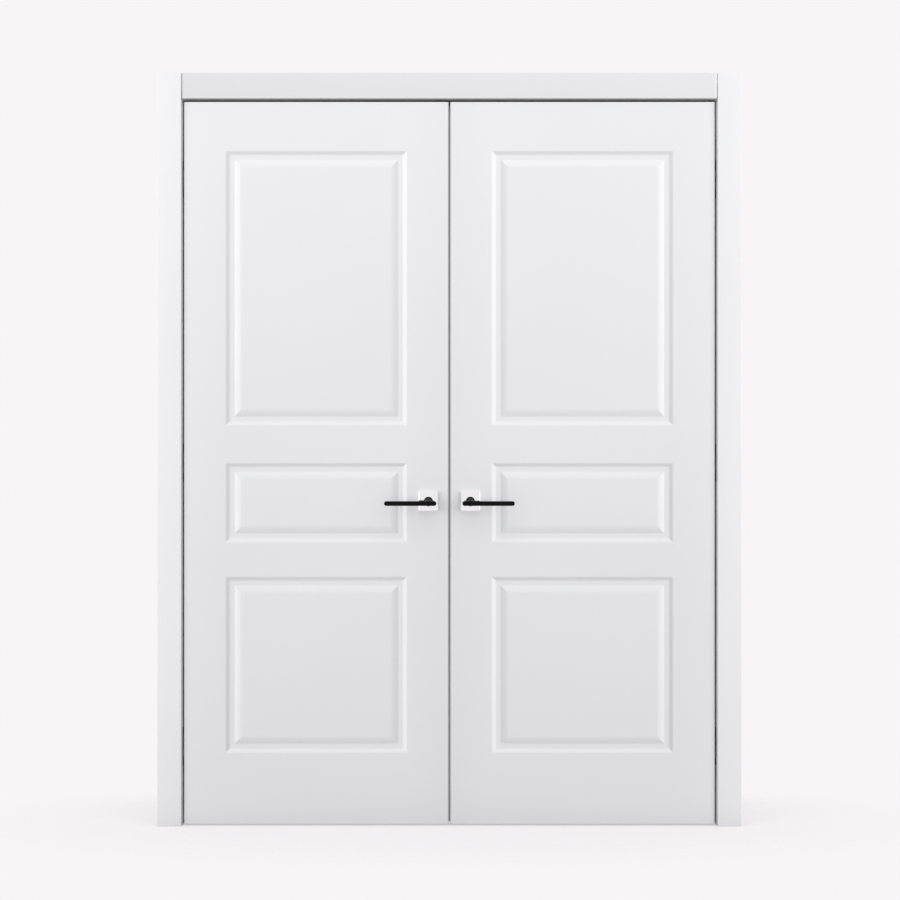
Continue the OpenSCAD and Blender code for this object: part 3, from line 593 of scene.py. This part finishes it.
def make_finishes():
    """All finishes, by the record's slot name, and the leaves' own paint"""
    finishes = bpy.context.scene.door_finishes
    return {
        "white_paint": satin_paint(),
        "leaf_paint_top_shade": leaf_paint_top_shade(),
        "polished_chrome": polished_chrome(),
        "black_lever": satin_black(),
        "hinge_zinc": cast_zinc(),
        "plate_steel": brushed_steel("plate_steel", finishes.steel),
        "screw_steel": brushed_steel("screw_steel", shade(finishes.steel, 1.1), 0.2, 0.32),
        "seal_rubber": matt_rubber(),
        "keep_plastic": moulded_plastic("keep_plastic", KEEP_GREY, 0.5),
        "latch_nylon": moulded_plastic("latch_nylon", NYLON_BLACK, 0.38),
    }


FINISH = {}


def finish_of(slot):
    """The material of a slot; all are made when the first is asked for"""
    if not FINISH:
        FINISH.update(make_finishes())
    return FINISH[slot]


def dress(slot, *nodes):
    """Puts a slot's finish on solids that are kept as they are"""
    for node in nodes:
        obj = frame["nodes"][node]
        if not obj.data.materials:
            obj.data.materials.append(None)
        for i in range(len(obj.data.materials)):
            obj.data.materials[i] = finish_of(slot)


# Leaves

def ease(t):
    """Smooth step from 0 to 1 with level ends"""
    return (1 - math.cos(math.pi * t)) / 2


def moulding_steps(sizes, steps=22):
    """Pairs of inset and depth across the moulding, from the stile to the panel's field"""
    rise = sizes.ogee_w + sizes.flat_w
    parts = [i / steps for i in range(steps + 1)]
    return ([(sizes.ogee_w * t, sizes.mould_d * ease(t)) for t in parts]
            + [(rise - MOULD_CREASE, sizes.mould_d)]
            + [(rise + sizes.bevel_w * t, sizes.mould_d * (1 - t) ** RISE_POWER) for t in parts])


def rect_ring(low, high, d, y):
    """Corners of a rectangle in X and Z, moved in by d, at y"""
    return [(low[0] + d, y, low[1] + d), (high[0] - d, y, low[1] + d),
            (high[0] - d, y, high[1] - d), (low[0] + d, y, high[1] - d)]


def leaf_face(bm, sizes, face_y, into):
    """Stiles, rails and moulded panels of one face; into is +1 or -1, the way into the leaf"""
    edge = sizes.edge_r
    left, right = EDGE_X + sizes.stile_w, HINGE_EDGE_X - sizes.stile_w
    rows = [LEAF_LOW_Z]
    for height in (sizes.bottom_rail_h, sizes.lower_panel_h, sizes.mid_rail_h, sizes.middle_panel_h,
                   sizes.lock_rail_h, sizes.upper_panel_h):
        rows.append(rows[-1] + height)
    rows.append(LEAF_TOP_Z)
    columns = (EDGE_X + edge, left, right, HINGE_EDGE_X - edge)
    for j, (z0, z1) in enumerate(zip(rows, rows[1:])):
        for i, (x0, x1) in enumerate(zip(columns, columns[1:])):
            if not (i == 1 and j % 2 == 1):
                quad(bm, (x0, face_y, z0), (x1, face_y, z0), (x1, face_y, z1), (x0, face_y, z1))
    for j in (1, 3, 5):
        low, high = (left, rows[j]), (right, rows[j + 1])
        rings = [rect_ring(low, high, d, face_y + into * depth) for d, depth in moulding_steps(sizes)]
        loft(bm, rings, close_ends=False)
        quad(bm, *rings[-1])
    return rows


def leaf_blank(name):
    """A leaf without its mortises"""
    sizes = bpy.context.scene.door_leaf
    bm = bmesh.new()
    rows = leaf_face(bm, sizes, FRONT_Y, 1)
    leaf_face(bm, sizes, BACK_Y, -1)
    front = [(d, FRONT_Y + w) for d, w in edge_steps(sizes.edge_r)]
    side = front + [(d, BACK_Y - (y - FRONT_Y)) for d, y in reversed(front)]
    for (d0, y0), (d1, y1) in zip(side, side[1:]):
        for z0, z1 in zip(rows, rows[1:]):
            for x0, x1 in ((EDGE_X + d0, EDGE_X + d1), (HINGE_EDGE_X - d0, HINGE_EDGE_X - d1)):
                quad(bm, (x0, y0, z0), (x1, y1, z0), (x1, y1, z1), (x0, y0, z1))
    left, right = EDGE_X + sizes.stile_w, HINGE_EDGE_X - sizes.stile_w
    outline = ([(EDGE_X + d, y) for d, y in side] + [(left, BACK_Y), (right, BACK_Y)]
               + [(HINGE_EDGE_X - d, y) for d, y in reversed(side)] + [(right, FRONT_Y), (left, FRONT_Y)])
    for z in (LEAF_LOW_Z, LEAF_TOP_Z):
        bm.faces.new([bm.verts.new((x, y, z)) for x, y in outline])
    return object_from(name, bm)


def hinge_mortises():
    """Cutters for the leaf's three hinge cups"""
    x0, x1 = HINGE_EDGE_X - CUP_MORTISE_D, HINGE_EDGE_X + PAST_EDGE
    return [stadium_cutter(x0, x1, CUP_Y, z, CUP_MORTISE_W, CUP_MORTISE_H) for z in HINGE_ZS]


def plate_mortise(z):
    """Cutter for a face plate in the meeting edge"""
    return stadium_cutter(EDGE_X - PAST_EDGE, EDGE_X + PLATE_T + SEAT, MID_Y, z,
                          PLATE_W + 2 * SEAT, PLATE_H + 2 * SEAT)


def edge_box(z, h, depth):
    """Cutter for the box behind a face plate"""
    return box_cutter((EDGE_X + PLATE_T - SEAT, MID_Y - CASE_W / 2, z - h / 2),
                      (EDGE_X + depth, MID_Y + CASE_W / 2, z + h / 2))


def seal_groove():
    """Cutter for the seal's groove in the meeting edge"""
    return box_cutter((EDGE_X - PAST_EDGE, GROOVE_LOW_Y, LEAF_LOW_Z - PAST_END),
                      (EDGE_X + GROOVE_D, GROOVE_HIGH_Y, LEAF_TOP_Z + PAST_END))


class DOOR_OT_leaves(bpy.types.Operator):
    """Moulded leaves with the mortises for their hinges, latch and bolts"""
    bl_idname = "door.leaves"
    bl_label = "Leaves"

    def execute(self, context):
        right = leaf_blank("right_leaf_slab")
        latch = [plate_mortise(HANDLE_Z), edge_box(HANDLE_Z, LATCH_CASE_H, LATCH_CASE_D)]
        cut(right, hinge_mortises() + latch + [seal_groove()])
        recrisp(right)
        blank = leaf_blank("left_leaf_slab_blank")
        keep = [plate_mortise(HANDLE_Z), edge_box(LATCH_Z, KEEP_BOX_H, KEEP_BOX_D), seal_groove()]
        bolts = [cutter for z in (BOLT_Z, LOW_BOLT_Z)
                 for cutter in (plate_mortise(z), edge_box(z, BOLT_CASE_H, BOLT_CASE_D))]
        rods = [rod_cutter(ROD_X, MID_Y, BOLT_Z + ROD_HOLE_UP, LEAF_TOP_Z + PAST_END, ROD_HOLE_R),
                rod_cutter(ROD_X, MID_Y, LEAF_LOW_Z - PAST_END, LOW_BOLT_Z - ROD_HOLE_UP, ROD_HOLE_R)]
        cut(blank, hinge_mortises() + keep + bolts + rods)
        recrisp(blank)
        left = mirrored(blank, "left_leaf_slab")
        discard(blank)
        hand_over(right, "right_leaf", "white_paint", "right_slab", finish="leaf_paint_top_shade")
        hand_over(left, "left_leaf", "white_paint", "left_slab", finish="leaf_paint_top_shade")
        return {"FINISHED"}


# Frame

def casing_outline(x0, x1, face_y, back_y, steps=6):
    """Section of a casing with eased front edges"""
    r = CASING_R
    return (arc(x0 + r, face_y + r, r, 180, 270, steps) + arc(x1 - r, face_y + r, r, 270, 360, steps)
            + [(x1, back_y), (x0, back_y)])


def casing_place(node, front):
    """Box of a casing, where it sits on the jamb, and a function that turns y to the frame's front or back"""
    low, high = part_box(node)
    both = low[1] + high[1]
    if front:
        return low, high, FRONT_Y, lambda y: y
    return low, high, both - JAMB_HIGH[1], lambda y: both - y


def side_casing(name, node, front):
    """Upright casing on the right of the doorway, on the front or back of the frame"""
    low, high, seat_y, turn = casing_place(node, front)
    bm = bmesh.new()
    eased_plate(bm, casing_outline(low[0], high[0], low[1], seat_y), lambda u, v, w: (u, turn(v), w), high[2],
                CASING_END_R, CASING_END_R)
    return object_from(name, bm)


def head_casing(name, node, front):
    """Casing across the top, between the upright ones, its ends eased on the face"""
    low, high, seat_y, turn = casing_place(node, front)
    bm = bmesh.new()
    ends = edge_steps(HEAD_END_R)
    steps = [(d, low[0] + w) for d, w in ends] + [(d, high[0] - w) for d, w in reversed(ends)]
    loft(bm, [[(x, turn(v), u) for u, v in casing_outline(low[2], high[2], low[1] + d, seat_y)]
              for d, x in steps])
    return object_from(name, bm)


def arris_cutter(inner, depth, place):
    """Bar that planes a jamb's front arris, from its inner face to the casing; place puts it at each end"""
    past, front = inner - PAST_ARRIS, FRONT_Y - PAST_ARRIS
    section = [(past, front), (past, FRONT_Y + depth * (1 + PAST_ARRIS / REVEAL)), (inner, FRONT_Y + depth),
               (inner + REVEAL, FRONT_Y), (inner + REVEAL, front)]
    return bar_cutter([[place(u, v, end) for u, v in section] for end in (0, 1)])


def jamb_arris(side):
    """Cutter for the front arris of an upright jamb"""
    ends = (-PAST_END, HEAD_Z + 2 * PAST_END)
    return arris_cutter(JAMB_X, JAMB_ARRIS_D, lambda u, v, end: (side * u, v, ends[end]))


def head_arris():
    """Cutter for the front arris of the head"""
    ends = (-JAMB_X - PAST_END, JAMB_X + PAST_END)
    return arris_cutter(HEAD_Z, HEAD_ARRIS_D, lambda u, v, end: (ends[end], v, u))


class DOOR_OT_frame(bpy.types.Operator):
    """Jambs, head and the casings on the frame's front and back"""
    bl_idname = "door.frame"
    bl_label = "Frame and Casings"

    def execute(self, context):
        for side, front in (("front", True), ("back", False)):
            right = side_casing(side + "_casing_right_trim", side + "_casing_right", front)
            left = mirrored(right, side + "_casing_left_trim")
            head = head_casing(side + "_casing_head_trim", side + "_casing_head", front)
            for piece, place in ((right, "right"), (left, "left"), (head, "head")):
                hand_over(piece, "frame", "white_paint", f"{side}_casing_{place}")
        for node, arris in (("left_jamb", jamb_arris(-1)), ("right_jamb", jamb_arris(1)),
                            ("head_jamb", head_arris())):
            piece = solid_copy(node, node + "_trim")
            cut(piece, [arris])
            recrisp(piece)
            hand_over(piece, "frame", "white_paint", node)
        return {"FINISHED"}


# Handles

def rose_mesh(name, turn):
    """Square rose with round corners and a polished edge; turn moves it to the leaf's other face"""
    sizes = bpy.context.scene.door_handle
    outline = round_box_outline(ROSE_HIGH[0] - ROSE_LOW[0], ROSE_HIGH[2] - ROSE_LOW[2], sizes.rose_r)
    bm = bmesh.new()
    eased_plate(bm, outline, lambda u, v, w: turn(HANDLE_X + u, ROSE_LOW[1] + w, HANDLE_Z + v),
                ROSE_HIGH[1] - ROSE_LOW[1], sizes.rose_edge)
    return object_from(name, bm)


def lever_outline(sizes):
    """The bar from the front, with round ends"""
    r = sizes.bar_h / 2
    right, left = LEVER_HIGH[0] - HANDLE_X - r, LEVER_LOW[0] - HANDLE_X + r
    return arc(right, -sizes.bar_drop, r, -90, 90, 16) + arc(left, -sizes.bar_drop, r, 90, 270, 16)


def neck_rings(sizes):
    """Rings of the neck as (y, radius, drop): a collar on the rose, then a taper bent down to the bar"""
    r, rose_y = sizes.neck_r - SEAT, ROSE_LOW[1]
    collar_y = rose_y - sizes.collar_l
    bar_y = LEVER_LOW[1] + sizes.bar_d / 2
    rings = ([(rose_y + NECK_SEAT, r, 0.0)] + [(rose_y - away, r - depth, 0.0) for away, depth in NECK_GROOVE]
             + [(collar_y + away, r - depth, 0.0) for away, depth in COLLAR_EDGE])
    start_r, end_r, steps = sizes.neck_r - NECK_STEP, sizes.bar_h / 2 + NECK_PROUD, 12
    for i in range(steps + 1):
        t = i / steps
        bend = ease(t)
        rings.append((collar_y + (bar_y - collar_y) * t, start_r + (end_r - start_r) * bend,
                      sizes.bar_drop * bend))
    return rings


def lever_mesh(name, turn):
    """Straight bar lever on its round neck"""
    sizes = bpy.context.scene.door_handle
    bm = bmesh.new()
    eased_plate(bm, lever_outline(sizes), lambda u, v, w: turn(HANDLE_X + u, LEVER_LOW[1] + w, HANDLE_Z + v),
                sizes.bar_d, sizes.bar_edge, sizes.bar_edge * BACK_EDGE_SHARE)
    loft(bm, [[turn(HANDLE_X + u, y, HANDLE_Z - drop + v) for u, v in circle(0, 0, r, 48)]
              for y, r, drop in neck_rings(sizes)])
    return object_from(name, bm)


class DOOR_OT_handles(bpy.types.Operator):
    """Square roses and straight levers on both faces of both leaves"""
    bl_idname = "door.handles"
    bl_label = "Handles"

    def execute(self, context):
        faces = {"front": lambda x, y, z: (x, y, z), "back": lambda x, y, z: (x, 2 * MID_Y - y, z)}
        for face, turn in faces.items():
            rose = rose_mesh(f"right_{face}_rose_plate", turn)
            lever = lever_mesh(f"right_{face}_lever_bar", turn)
            left_rose = mirrored(rose, f"left_{face}_rose_plate")
            left_lever = mirrored(lever, f"left_{face}_lever_bar")
            hand_over(left_rose, "left_leaf", "polished_chrome", f"left_{face}_rose")
            hand_over(left_lever, "left_leaf", "black_lever", f"left_{face}_lever")
            hand_over(rose, "right_leaf", "polished_chrome", f"right_{face}_rose")
            hand_over(lever, "right_lever", "black_lever", f"right_{face}_lever")
        dress("screw_steel", "left_spindle", "right_spindle", "left_rose_bolts", "right_rose_bolts")
        return {"FINISHED"}


# Hinges, latch, bolts and seals

class DOOR_OT_hinges(bpy.types.Operator):
    """Concealed hinges: cups in the jambs and leaves, and the curved arms between them"""
    bl_idname = "door.hinges"
    bl_label = "Hinges"

    def execute(self, context):
        for side in ("left", "right"):
            for part, body, r, clamp in (("_frame_cups", "frame", PLATE_EASE, False),
                                         ("_leaf_cups", side + "_leaf", PLATE_EASE, False),
                                         ("_hinge_arms", side + "_arms", SLIDE_EASE, True)):
                hand_over(eased_copy(side + part, r, clamp), body, "hinge_zinc", side + part)
        return {"FINISHED"}


class DOOR_OT_edge_hardware(bpy.types.Operator):
    """Latch and keep in the meeting edges, and the flush bolts with their keeper"""
    bl_idname = "door.edge_hardware"
    bl_label = "Edge Hardware"

    def execute(self, context):
        for node, body in (("latch_plate", "right_leaf"), ("keep_plate", "left_leaf"),
                           ("top_bolt_case", "left_leaf"), ("bottom_bolt_case", "left_leaf")):
            hand_over(eased_copy(node, PLATE_EASE), body, "plate_steel", node)
        for node, body, r in (("bolt_keeper", "frame", KEEPER_EASE),
                              ("top_bolt_slide", "top_bolt", SLIDE_EASE),
                              ("bottom_bolt_slide", "bottom_bolt", SLIDE_EASE),
                              ("top_bolt_rod", "top_bolt", ROD_EASE),
                              ("bottom_bolt_rod", "bottom_bolt", ROD_EASE)):
            hand_over(eased_copy(node, r, True), body, "plate_steel", node)
        hand_over(eased_copy("latch_bolt", SLIDE_EASE, True), "latch", "latch_nylon", "latch_bolt")
        dress("plate_steel", "latch_case", "latch_follower")
        dress("keep_plastic", "keep_box")
        return {"FINISHED"}


class DOOR_OT_seals(bpy.types.Operator):
    """Rubber seals in the rebates and in the meeting edges"""
    bl_idname = "door.seals"
    bl_label = "Seals"

    def execute(self, context):
        dress("seal_rubber", "left_seal", "right_seal", "head_seal",
              "left_meeting_seal", "right_meeting_seal")
        return {"FINISHED"}


# Screws, by Geometry Nodes

SCREW_SIZES = ("Head Radius", "Shank Radius", "Length")


def screw_tree():
    """Countersunk screws with a cross recess, one on each point, their heads facing the point's vector"""
    tree = bpy.data.node_groups.new("countersunk_screws", "GeometryNodeTree")
    face = tree.interface
    face.new_socket("Geometry", in_out="INPUT", socket_type="NodeSocketGeometry")
    for name, value in zip(SCREW_SIZES, (*SCREW, PLATE_SCREW_L)):
        socket = face.new_socket(name, in_out="INPUT", socket_type="NodeSocketFloat")
        socket.default_value = value
        socket.subtype = "DISTANCE"
    face.new_socket("Material", in_out="INPUT", socket_type="NodeSocketMaterial")
    face.new_socket("Geometry", in_out="OUTPUT", socket_type="NodeSocketGeometry")

    def made(kind, inputs, **settings):
        """The first output of a new node"""
        return add_node(tree, kind, inputs, **settings).outputs[0]

    def maths(operation, a, b):
        """One sum on sockets or numbers"""
        return made("ShaderNodeMath", {0: a, 1: b}, operation=operation)

    def moved(geometry, z):
        """Geometry moved along Z"""
        offset = made("ShaderNodeCombineXYZ", {"Z": z})
        return made("GeometryNodeTransform", {"Geometry": geometry, "Translation": offset})

    given = tree.nodes.new("NodeGroupInput").outputs
    head_r, shank_r, length = (given[name] for name in SCREW_SIZES)
    head_d = maths("SUBTRACT", head_r, shank_r)
    head = made("GeometryNodeMeshCone", {"Vertices": HEAD_SIDES, "Radius Top": head_r,
                                         "Radius Bottom": shank_r, "Depth": head_d})
    shank = made("GeometryNodeMeshCylinder", {"Vertices": SHANK_SIDES, "Radius": shank_r, "Depth": length})
    sunk_head = moved(head, maths("MULTIPLY", head_d, -1.0))
    recess = add_node(tree, "GeometryNodeMeshBoolean", {"Self Intersection": True, "Mesh 1": sunk_head},
                      operation="DIFFERENCE", solver="EXACT")
    for shares in RECESS_BARS:
        sides = {axis: maths("MULTIPLY", head_r, share) for axis, share in zip("XYZ", shares)}
        bar = made("GeometryNodeMeshCube", {"Size": made("ShaderNodeCombineXYZ", sides)})
        tree.links.new(bar, recess.inputs["Mesh 2"])
    below = maths("ADD", maths("MULTIPLY", length, -0.5), maths("MULTIPLY", head_d, -SHANK_START))
    screw = tree.nodes.new("GeometryNodeJoinGeometry")
    for part in (recess.outputs["Mesh"], moved(shank, below)):
        tree.links.new(part, screw.inputs[0])
    facing = add_node(tree, "GeometryNodeInputNamedAttribute", {"Name": "facing"}, data_type="FLOAT_VECTOR")
    turn = made("FunctionNodeAlignRotationToVector", {"Vector": facing.outputs["Attribute"]})
    placed = made("GeometryNodeInstanceOnPoints", {"Points": given["Geometry"], "Instance": screw.outputs[0],
                                                   "Rotation": turn})
    real = made("GeometryNodeRealizeInstances", {0: placed})
    painted = made("GeometryNodeSetMaterial", {"Geometry": real, "Material": given["Material"]})
    add_node(tree, "NodeGroupOutput", {0: painted})
    return tree


def screws_mesh(tree, points, radii, length):
    """Plain mesh of screws on points, each given as a place and the way its head faces"""
    mesh = bpy.data.meshes.new("screw_places")
    mesh.from_pydata([p for p, way in points], [], [])
    facing = mesh.attributes.new("facing", "FLOAT_VECTOR", "POINT")
    for i, (p, way) in enumerate(points):
        facing.data[i].vector = way
    obj = add_object("screw_places", mesh)
    modifier = obj.modifiers.new("Screws", "NODES")
    modifier.node_group = tree
    values = dict(zip(SCREW_SIZES, (*radii, length)), Material=finish_of("screw_steel"))
    for item in tree.interface.items_tree:
        if item.in_out == "INPUT" and item.name in values:
            modifier[item.identifier] = values[item.name]
    settle(obj)
    return obj


def joined(name, objects):
    """Several meshes as one object"""
    bm = bmesh.new()
    for obj in objects:
        bm.from_mesh(obj.data)
        discard(obj)
    return object_from(name, bm)


def flip(points):
    """Places and ways on the other side of the doorway"""
    return [((-x, y, z), (-a, b, c)) for (x, y, z), (a, b, c) in points]


class DOOR_OT_screws(bpy.types.Operator):
    """Screws of the hinges, plates, bolts and frame corners"""
    bl_idname = "door.screws"
    bl_label = "Screws"

    def execute(self, context):
        tree = screw_tree()
        hinge_zs = [z + s * HINGE_SCREW_OFF for z in HINGE_ZS for s in (-1, 1)]
        jamb_side = [((JAMB_X, CUP_Y, z), (-1, 0, 0)) for z in hinge_zs]
        leaf_side = [((HINGE_EDGE_X, CUP_Y, z), (1, 0, 0)) for z in hinge_zs]
        lock_plate, bolts = ([((EDGE_X, MID_Y, z + s * PLATE_SCREW_OFF), (-1, 0, 0))
                              for z in plate_zs for s in (-1, 1)]
                             for plate_zs in ((HANDLE_Z,), (BOLT_Z, LOW_BOLT_Z)))
        keeper = [((-ROD_X + s * KEEPER_SCREW_OFF, MID_Y, HEAD_Z), (0, 0, -1)) for s in (-1, 1)]
        corner_ys = [JAMB_LOW[1] + (JAMB_HIGH[1] - JAMB_LOW[1]) * t for t in (1 / 3, 2 / 3)]
        corners = [((JAMB_HIGH[0], y, HEAD_Z + CORNER_SCREW_UP), (1, 0, 0)) for y in corner_ys]
        fixed = joined("frame_screws", [
            screws_mesh(tree, jamb_side + flip(jamb_side), SCREW, HINGE_SCREW_L),
            screws_mesh(tree, keeper, SCREW, PLATE_SCREW_L),
            screws_mesh(tree, corners + flip(corners), CORNER_SCREW, CORNER_SCREW_L)])
        left = joined("left_leaf_screws", [
            screws_mesh(tree, flip(leaf_side), SCREW, HINGE_SCREW_L),
            screws_mesh(tree, flip(lock_plate), SCREW, PLATE_SCREW_L),
            screws_mesh(tree, flip(bolts), SCREW, BOLT_SCREW_L)])
        right = joined("right_leaf_screws", [
            screws_mesh(tree, leaf_side, SCREW, HINGE_SCREW_L),
            screws_mesh(tree, lock_plate, SCREW, PLATE_SCREW_L)])
        hand_over(fixed, "frame", "screw_steel", "frame_hinge_screws", "keeper_screws", "corner_screws")
        hand_over(left, "left_leaf", "screw_steel", "left_hinge_screws", "keep_screws", "flush_bolt_screws")
        hand_over(right, "right_leaf", "screw_steel", "right_hinge_screws", "latch_screws")
        return {"FINISHED"}


# Stage

def soft_light(name, power, place, target, width, height):
    """A soft rectangular lamp that faces the target"""
    lamp = bpy.data.lights.new(name, "AREA")
    lamp.shape = "RECTANGLE"
    lamp.size, lamp.size_y, lamp.energy = width, height, power
    obj = add_object(name, lamp)
    obj.location = place
    obj.rotation_euler = (Vector(target) - Vector(place)).to_track_quat("-Z", "Y").to_euler()
    obj.visible_camera = False
    return obj


def set_flag(light, state, *trims, pieces=()):
    """Keeps a light off these trims and pieces, or keeps it to them"""
    flag = bpy.data.collections.new(light.name + "_flag")
    for piece in (*pieces, *(bpy.data.objects[trim + "_trim"] for trim in trims)):
        flag.objects.link(piece)
    for member in flag.collection_objects:
        member.light_linking.link_state = state
    light.light_linking.receiver_collection = flag


def far_light(side, strength, far_bodies, *far_trims):
    """A broad, even light from far away on one side, flagged off the other leaf and its part of the frame"""
    name = "left_light" if side < 0 else "right_light"
    lamp = bpy.data.lights.new(name, "SUN")
    lamp.energy, lamp.angle = strength, SIDE_SPREAD
    obj = add_object(name, lamp)
    way = Vector((side * SIDE_WAY[0], *SIDE_WAY[1:]))
    obj.rotation_euler = way.to_track_quat("Z", "Y").to_euler()
    pieces = [piece for body in far_bodies for piece in frame["bodies"][body].children_recursive
              if piece.type == "MESH"]
    set_flag(obj, "EXCLUDE", *far_trims, pieces=pieces)


def white_surround(stage):
    """Even soft light from all round, which the camera and mirrors see as a pale backdrop"""
    world = bpy.data.worlds.new("surround")
    bpy.context.scene.world = world
    world.use_nodes = True
    tree = world.node_tree
    plain = tree.nodes["Background"]
    set_inputs(tree, plain, {"Color": (1.0, 1.0, 1.0, 1.0), "Strength": stage.fill})
    seen = add_node(tree, "ShaderNodeBackground", {"Color": (*stage.backdrop, 1.0)})
    rays = tree.nodes.new("ShaderNodeLightPath").outputs
    either = add_node(tree, "ShaderNodeMath", {0: rays["Is Camera Ray"], 1: rays["Is Glossy Ray"]},
                      operation="MAXIMUM")
    any_of = add_node(tree, "ShaderNodeMath", {0: either.outputs[0], 1: rays["Is Transmission Ray"]},
                      operation="MAXIMUM")
    mix = add_node(tree, "ShaderNodeMixShader",
                   {0: any_of.outputs[0], 1: plain.outputs[0], 2: seen.outputs[0]})
    tree.links.new(mix.outputs[0], tree.nodes["World Output"].inputs["Surface"])


def pale_floor(stage):
    """Pale floor that fades into the backdrop and keeps the door's shadow"""
    bm = bmesh.new()
    bmesh.ops.create_grid(bm, x_segments=2, y_segments=2, size=FLOOR_HALF)
    for vert in bm.verts:
        vert.co.z = FLOOR_Z
    floor = object_from("floor", bm)
    if floor.data.polygons[0].normal.z < 0:
        floor.data.flip_normals()
    material, tree, shader, coords = start_material("pale_floor", stage.backdrop, FLOOR_ROUGH)
    set_inputs(tree, shader, {"Specular IOR Level": 0.0})
    squeeze = add_node(tree, "ShaderNodeMapping", {"Vector": coords, "Scale": FLOOR_SQUEEZE})
    away = add_node(tree, "ShaderNodeVectorMath", {0: squeeze.outputs["Vector"]}, operation="LENGTH")
    fade = add_node(tree, "ShaderNodeMapRange",
                    {"Value": away.outputs["Value"], "From Min": FADE_NEAR, "From Max": FADE_FAR},
                    interpolation_type="SMOOTHSTEP")

    def mixed(share, first, second):
        """Mix of two shaders; share is a number or a socket"""
        return add_node(tree, "ShaderNodeMixShader", {0: share, 1: first.outputs[0], 2: second.outputs[0]})

    glow = add_node(tree, "ShaderNodeEmission", {"Color": (*stage.backdrop, 1.0)})
    clear = tree.nodes.new("ShaderNodeBsdfTransparent")
    dim = add_node(tree, "ShaderNodeBsdfDiffuse", {"Color": (FLOOR_BOUNCE, FLOOR_BOUNCE, FLOOR_BOUNCE, 1.0)})
    rays = tree.nodes.new("ShaderNodeLightPath")
    faded = mixed(fade.outputs["Result"], mixed(FLOOR_GLOW, shader, glow), clear)
    seen = mixed(rays.outputs["Is Diffuse Ray"], faded, dim)
    tree.links.new(seen.outputs[0], tree.nodes["Material Output"].inputs["Surface"])
    floor.data.materials.append(material)


class DOOR_OT_stage(bpy.types.Operator):
    """Camera, pale floor and soft light"""
    bl_idname = "door.stage"
    bl_label = "Stage"

    def execute(self, context):
        stage = context.scene.door_stage
        context.scene.view_settings.view_transform = "Standard"
        white_surround(stage)
        pale_floor(stage)
        top = soft_light("top_light", stage.top_power, *TOP_LIGHT)
        set_flag(top, "EXCLUDE", "front_casing_head", "back_casing_head")
        low = soft_light("low_light", stage.low_power, *LOW_LIGHT)
        set_flag(low, "INCLUDE", "front_casing_left", "front_casing_right")
        far_light(-1, stage.side_strength, ("right_leaf", "right_arms", "right_lever", "latch"),
                  "front_casing_right", "back_casing_right", "front_casing_head", "back_casing_head",
                  "right_jamb", "head_jamb")
        far_light(1, stage.side_strength, ("left_leaf", "left_arms", "top_bolt", "bottom_bolt"),
                  "front_casing_left", "back_casing_left", "left_jamb", "head_jamb")
        camera = bpy.data.cameras.new("camera")
        camera.sensor_width = 36.0
        camera.lens = camera.sensor_width * stage.camera_away / stage.view_w
        view = add_object("camera", camera)
        view.location = (CAMERA_X, FRONT_Y - stage.camera_away, stage.camera_z)
        view.rotation_euler = (math.pi / 2, 0.0, 0.0)
        context.scene.camera = view
        return {"FINISHED"}


PIECES = (DOOR_OT_leaves, DOOR_OT_frame, DOOR_OT_handles, DOOR_OT_hinges, DOOR_OT_edge_hardware,
          DOOR_OT_seals, DOOR_OT_screws, DOOR_OT_stage)
SETTINGS = {"door_leaf": LeafSizes, "door_handle": HandleSizes, "door_finishes": Finishes,
            "door_stage": StageSettings}


class VIEW3D_PT_double_door(bpy.types.Panel):
    """Lists the door's pieces and the settings that they use"""
    bl_idname = "VIEW3D_PT_double_door"
    bl_label = "Double Door"
    bl_space_type = "VIEW_3D"
    bl_region_type = "UI"
    bl_category = "Double Door"

    def draw(self, context):
        for piece in PIECES:
            self.layout.operator(piece.bl_idname)
        for name in SETTINGS:
            group = getattr(context.scene, name)
            box = self.layout.box()
            for setting in group.bl_rna.properties:
                if setting.identifier not in ("rna_type", "name"):
                    box.prop(group, setting.identifier)


def register():
    for group in SETTINGS.values():
        bpy.utils.register_class(group)
    for name, group in SETTINGS.items():
        setattr(bpy.types.Scene, name, PointerProperty(type=group))
    for piece in PIECES:
        bpy.utils.register_class(piece)
    bpy.utils.register_class(VIEW3D_PT_double_door)


def unregister():
    bpy.utils.unregister_class(VIEW3D_PT_double_door)
    for piece in reversed(PIECES):
        bpy.utils.unregister_class(piece)
    for name, group in reversed(SETTINGS.items()):
        delattr(bpy.types.Scene, name)
        bpy.utils.unregister_class(group)


def main():
    register()
    for piece in PIECES:
        group, call = piece.bl_idname.split(".")
        getattr(getattr(bpy.ops, group), call)()


if __name__ == "__main__":
    main()
